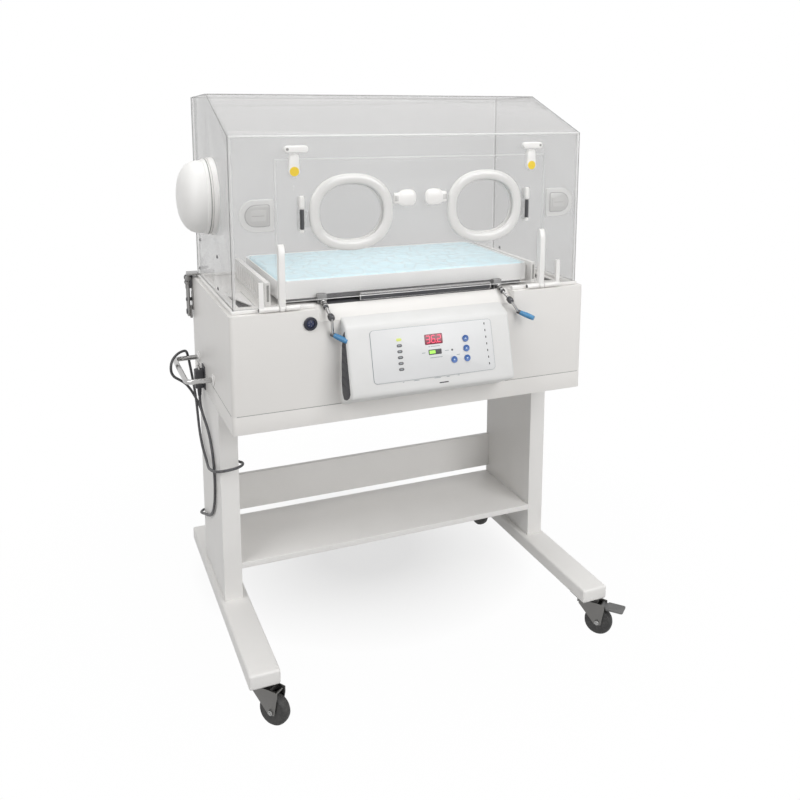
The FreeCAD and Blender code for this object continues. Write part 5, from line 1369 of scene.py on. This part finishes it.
# The marks on the keys: arrows, and a square where a key has none
KEY_MARKS = {
    "up": [(-2.8, 1.6), (0, -2.2), (2.8, 1.6)],
    "down": [(-2.8, -1.6), (0, 2.2), (2.8, -1.6)],
}
KEY_SQUARE = [(-1.6, -1.6), (1.6, -1.6), (1.6, 1.6), (-1.6, 1.6)]


def digit(sign, centre_x, centre_s, width, height):
    """The lit bars of one number on the display."""
    bars = []
    thick = 1.7
    for name in DIGITS[sign]:
        across, down, level = SEGMENTS[name]
        x = centre_x + across * (width - thick) / 2
        s = centre_s + down * (height - thick) / 2
        size = (width - 2.2, thick) if level else (thick, height / 2 - 2.0)
        bars.append(face_box(x, s, *size, *DIGIT_LIFT, 0, 0))
    return bars


def control_module():
    """A rounded white housing with dark cheeks, its panel film, lights and keys."""
    left_end, right_end = 0.2065, 0.2205
    profile = [
        (FRONT + 0.012, 0.905), (FRONT - 0.001, 0.905), (FRONT - 0.038, 0.888), (-0.3179, 0.7398),
        (-0.3179, 0.7278), (FRONT - 0.001, 0.692), (FRONT + 0.012, 0.692),
    ]
    shell = slab(profile, "x", -left_end, right_end, 0.0075, 4)
    joined(
        "module_shell", [shell], MODULE_PLASTIC, "stand", replaces=("module_housing",),
        slot="module_plastic",
    )
    cheek = [
        (-0.269, 0.879), (-0.281, 0.838), (-0.294, 0.79), (-0.306, 0.748), (-0.3075, 0.737),
        (-0.3, 0.7265), (-0.283, 0.7165), (-0.264, 0.712), (-0.252, 0.724), (-0.2465, 0.752),
        (-0.2465, 0.79), (-0.2505, 0.832), (-0.259, 0.868),
    ]
    lowest_vent, vent_pitch, vent_height = 0.744, 0.019, 0.005
    cheeks = []
    for side, end in ((LEFT, left_end), (RIGHT, right_end)):
        low, high = span(side, end - 0.0005, end + 0.0014)
        cheeks.append(slab(cheek, "x", low, high, 0.0005, 2))
        low, high = span(side, end + 0.0011, end + 0.002)
        for number in range(6):
            z = lowest_vent + number * vent_pitch
            back, front = -0.2535, -0.2965 + (z - lowest_vent) * 0.27
            top = z + vent_height
            vent = [(back, z), (front, z), (front, top), (back, top)]
            cheeks.append(slab(vent, "x", low, high, 0.0002, 1))
    joined("module_cheek_plates", cheeks, SLOT_BLACK, "stand")
    film = [
        (face_box(0, 74, 318, 126, 0.0, 1.5, 9, 0.0004), 1),
        face_box(0, 74, 316.4, 124.4, 1.0, 1.7, 8.4, 0.0001),
    ]
    joined(
        "module_film", film, [PANEL_FILM, PRINT_GREY], "stand", replaces=("module_fascia",),
        slot="fascia_film",
    )
    marks = []
    for x, drop, width in (
        (-12, 63.5, 4), (4, 63.5, 24), (-10, 90.5, 4), (5, 90.5, 30), (-28, 77, 9), (33, 77, 10),
        (62, 90, 8),
    ):
        marks.append(face_box(x, drop, width, 1.6, 1.7, 1.8, 0, 0))
    for x, width in ((-86, 3), (-52, 14), (2, 16), (30, 8), (58, 5)):
        marks.append(face_box(x, 139.5, width, 1.2, 0.3, 0.5, 0, 0))
    for number in range(7):
        x, drop = 140 + number * 0.6, 22 + number * 16.5
        marks.append((face_box(x, drop, 2.6, 5.4, 1.7, 1.8, 0, 0), 1))
    marks.append((lathe([(0, 0.0026), (0.0006, 0.0024)], on_face(47, 77, 1.6), FACE_OUT, 20), 1))
    marks.append((face_box(18, 152, 24, 2.6, -0.2, 0.4, 1.2, 0), 1))
    joined("module_marks", marks, [PRINT_GREY, SLOT_BLACK], "stand")
    glass, black, green, red, yellow, unlit, printed = range(7)
    lights = [
        (face_box(1, 46, 47, 25, 1.5, 2.3, 2.5, 0.0003), glass),
        (face_box(2, 77, 34, 12.5, 1.5, 2.2, 1.5, 0.0003), black),
        (face_box(-5, 77, 15.5, 7.5, 2.2, 2.35, 0.5, 0.0), green),
    ]
    for sign, x in (("3", -13.5), ("6", 0.0), ("2", 15.0)):
        lights += [(bar, red) for bar in digit(sign, x, 46, 10.5, 18)]
    lights.append((face_box(7.6, 54.2, 2.2, 2.2, *DIGIT_LIFT, 0, 0), red))
    lamp_x, first_lamp, lamp_pitch = -88, 39, 14
    for number in range(6):
        drop = first_lamp + number * lamp_pitch
        window, bar = (unlit, printed) if number else (yellow, yellow)
        lights.append((face_box(lamp_x, drop, 13.5, 7.2, 1.5, 2.2, 3.5, 0.0003), window))
        lights.append((face_box(lamp_x, drop, 7, 2, 2.2, 2.3, 1, 0), bar))
    joined(
        "module_lights", lights,
        [DISPLAY_GLASS, SLOT_BLACK, LAMP_GREEN, DIGIT_RED, LAMP_YELLOW, LAMP_DARK, PRINT_GREY], "stand",
        replaces=("panel_lights",), slot="light_window",
    )
    cap = [
        (0, 0.0066), (0.0052, 0.007), (0.0055, 0.0080), (0.0064, 0.0083), (0.0069, 0.0078),
        (0.0066, 0.0058), (0.0064, 0.0),
    ]
    for word, across, drop in (("up", 85, 53), ("set", 85, 77), ("down", 85, 101), ("mute", 50, 101)):
        mark = [(across + x, drop + s) for x, s in KEY_MARKS.get(word, KEY_SQUARE)]
        parts = [
            lathe(cap, on_face(across, drop, -3), FACE_OUT, 28), (face_plate(mark, 3.3, 3.6, 0), 1),
        ]
        joined(
            "button_" + word, parts, [BUTTON_BLUE, MARK_WHITE], "panel_button_" + word,
            replaces=("panel_button_" + word,), slot="button_blue",
        )


# Inside the cabinet

def inner_pieces():
    """What makes the warm, moist air: heater, fan, water tank and the board that runs them."""
    softened("control_board", CIRCUIT, 0.0004, 1)
    softened("fan_motor", ZINC, 0.001, 2)
    softened("water_tank", TANK_PLASTIC, 0.0015, 2)
    softened("heater_ring", DARK_STEEL, 0.0004, 1)
    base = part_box("fan_rotor")[0][2]
    y, count, inside, outside, sweep = 0.027, 18, 0.036, 0.0555, 0.32
    blades = []
    for number in range(count):
        turn = 2 * math.pi * number / count
        inner = Vector((inside * math.cos(turn), y + inside * math.sin(turn), base + 0.003))
        swept = turn + sweep
        outer = Vector((outside * math.cos(swept), y + outside * math.sin(swept), base + 0.003))
        way = (outer - inner).normalized()
        flat = way.cross(Vector((0, 0, 1))) * 0.0007
        quad = [inner + flat, outer + flat, outer - flat, inner - flat]
        blades.append(slab([(point.x, point.y) for point in quad], "z", base + 0.003, base + 0.0285, 0))
    disc = [
        (0, 0.0047), (0, 0.0595), (0.003, 0.0598), (0.003, 0.0115), (0.026, 0.0098), (0.026, 0.0047),
    ]
    shroud = [(0.0265, 0.0525), (0.0265, 0.0598), (0.03, 0.0598), (0.03, 0.0525)]
    parts = blades + [
        lathe_ring(disc, (0, y, base), (0, 0, 1), 48), lathe_ring(shroud, (0, y, base), (0, 0, 1), 48),
    ]
    joined(
        "fan_wheel", parts, WHITE_PLASTIC, "fan_rotor", replaces=("fan_rotor",), slot="white_plastic",
    )


# Studio

# The shadow's middle on the floor, and the distances from it over which the floor gets whiter
SHADOW_MIDDLE = (0.04, 0.3, 0)
SHADOW_EDGE = (0.14, 0.54)
FLOOR_EDGE = (0.5, 1.2)
# The share of plain white in the shadow, and what each of those two steps adds to it
WHITE_IN_SHADOW = 0.62
WHITE_ROUND_IT = 0.36
WHITE_FAR_OFF = 0.02


def backdrop(name, reach):
    """The pale floor. It keeps the shadow near the stand and goes to plain white further out."""
    mesh = bpy.data.meshes.new(name)
    mesh.from_pydata(
        [(-reach, -reach, 0), (reach, -reach, 0), (reach, reach, 0), (-reach, reach, 0)], [],
        [(0, 1, 2, 3)],
    )
    floor = bpy.data.objects.new(name, mesh)
    bpy.context.collection.objects.link(floor)
    finish = Finish("floor_white", Roughness=0.9, Specular_IOR_Level=0.0)
    finish.feed("Base Color", (0.6, 0.6, 0.6))
    middle = finish.add(
        "ShaderNodeVectorMath", {"operation": "SUBTRACT"}, {0: finish.place, 1: SHADOW_MIDDLE},
    ).link()
    away = finish.add("ShaderNodeVectorMath", {"operation": "LENGTH"}, {0: middle}).value("Value")
    rays = finish.add("ShaderNodeLightPath")
    seen = rays.value("Is Camera Ray").or_larger(rays.value("Is Transmission Ray"))
    seen = seen.or_larger(rays.value("Is Glossy Ray"))
    white = finish.add("ShaderNodeEmission", None, {"Color": (1, 1, 1), "Strength": 1.0}).link()
    share = away.between(*SHADOW_EDGE) * WHITE_ROUND_IT + WHITE_IN_SHADOW
    share = share + away.between(*FLOOR_EDGE) * WHITE_FAR_OFF
    lifted = finish.add(
        "ShaderNodeMixShader", None, {0: seen * share, 1: finish.shader.outputs[0], 2: white},
    ).link()
    finish.links.new(lifted, finish.nodes["Material Output"].inputs["Surface"])
    mesh.materials.append(finish.material)


def studio():
    """Three soft lamps round the stand, a weak one in the hood, and a white surround."""
    world = bpy.data.worlds.new("studio")
    bpy.context.scene.world = world
    world.use_nodes = True
    tree = world.node_tree
    room = tree.nodes["Background"]
    room.inputs["Color"].default_value = (1.0, 0.985, 0.97, 1)
    room.inputs["Strength"].default_value = 0.26
    seen = tree.nodes.new("ShaderNodeBackground")
    seen.inputs["Color"].default_value = (1, 1, 1, 1)
    seen.inputs["Strength"].default_value = 1.0
    rays = tree.nodes.new("ShaderNodeLightPath")
    mix = tree.nodes.new("ShaderNodeMixShader")
    most = rays.outputs["Is Camera Ray"]
    for kind in ("Is Transmission Ray", "Is Glossy Ray"):
        either = tree.nodes.new("ShaderNodeMath")
        either.operation = "MAXIMUM"
        tree.links.new(most, either.inputs[0])
        tree.links.new(rays.outputs[kind], either.inputs[1])
        most = either.outputs[0]
    tree.links.new(most, mix.inputs[0])
    tree.links.new(room.outputs[0], mix.inputs[1])
    tree.links.new(seen.outputs[0], mix.inputs[2])
    tree.links.new(mix.outputs[0], tree.nodes["World Output"].inputs["Surface"])
    soft_lamp("key", (1.2, -3.1, 2.5), (0, 0, 0.8), (2.2, 2.2), 74)
    soft_lamp("fill", (-2.8, -1.3, 3.2), (0, 0, 0.9), (2.4, 2.4), 58)
    soft_lamp("top", (0.1, 0.4, 3.6), (0, 0, 0.6), (2.4, 2.0), 38)
    cabin = soft_lamp("cabin", (0, 0.02, 1.345), (0, 0.02, 0.95), (0.74, 0.36), 0.8)
    cabin.visible_camera = False
    cabin.visible_glossy = False
    bpy.context.scene.view_settings.view_transform = "Standard"


place_camera()
plug = mains_plug()
lead = mains_lead()
lead_connector()
stand()
for corner in ("front_left", "front_right", "rear_left", "rear_right"):
    caster(corner)
for corner in ("front_right", "rear_left"):
    brake_pedal(corner)
cabinet()
probe_socket()
side_handles()
hood_hinges()
power_inlet()
hood()
iris_port()
grommets()
door_rods()
for side, word in ((LEFT, "left"), (RIGHT, "right")):
    turn_button(side, word)
    port_lid(side, word)
    port_latch(side, word)
front_door()
port_frames()
bed()
mattress()
crank(LEFT, "left", -172)
crank(RIGHT, "right", -140)
control_module()
inner_pieces()
backdrop("floor", 30)
studio()
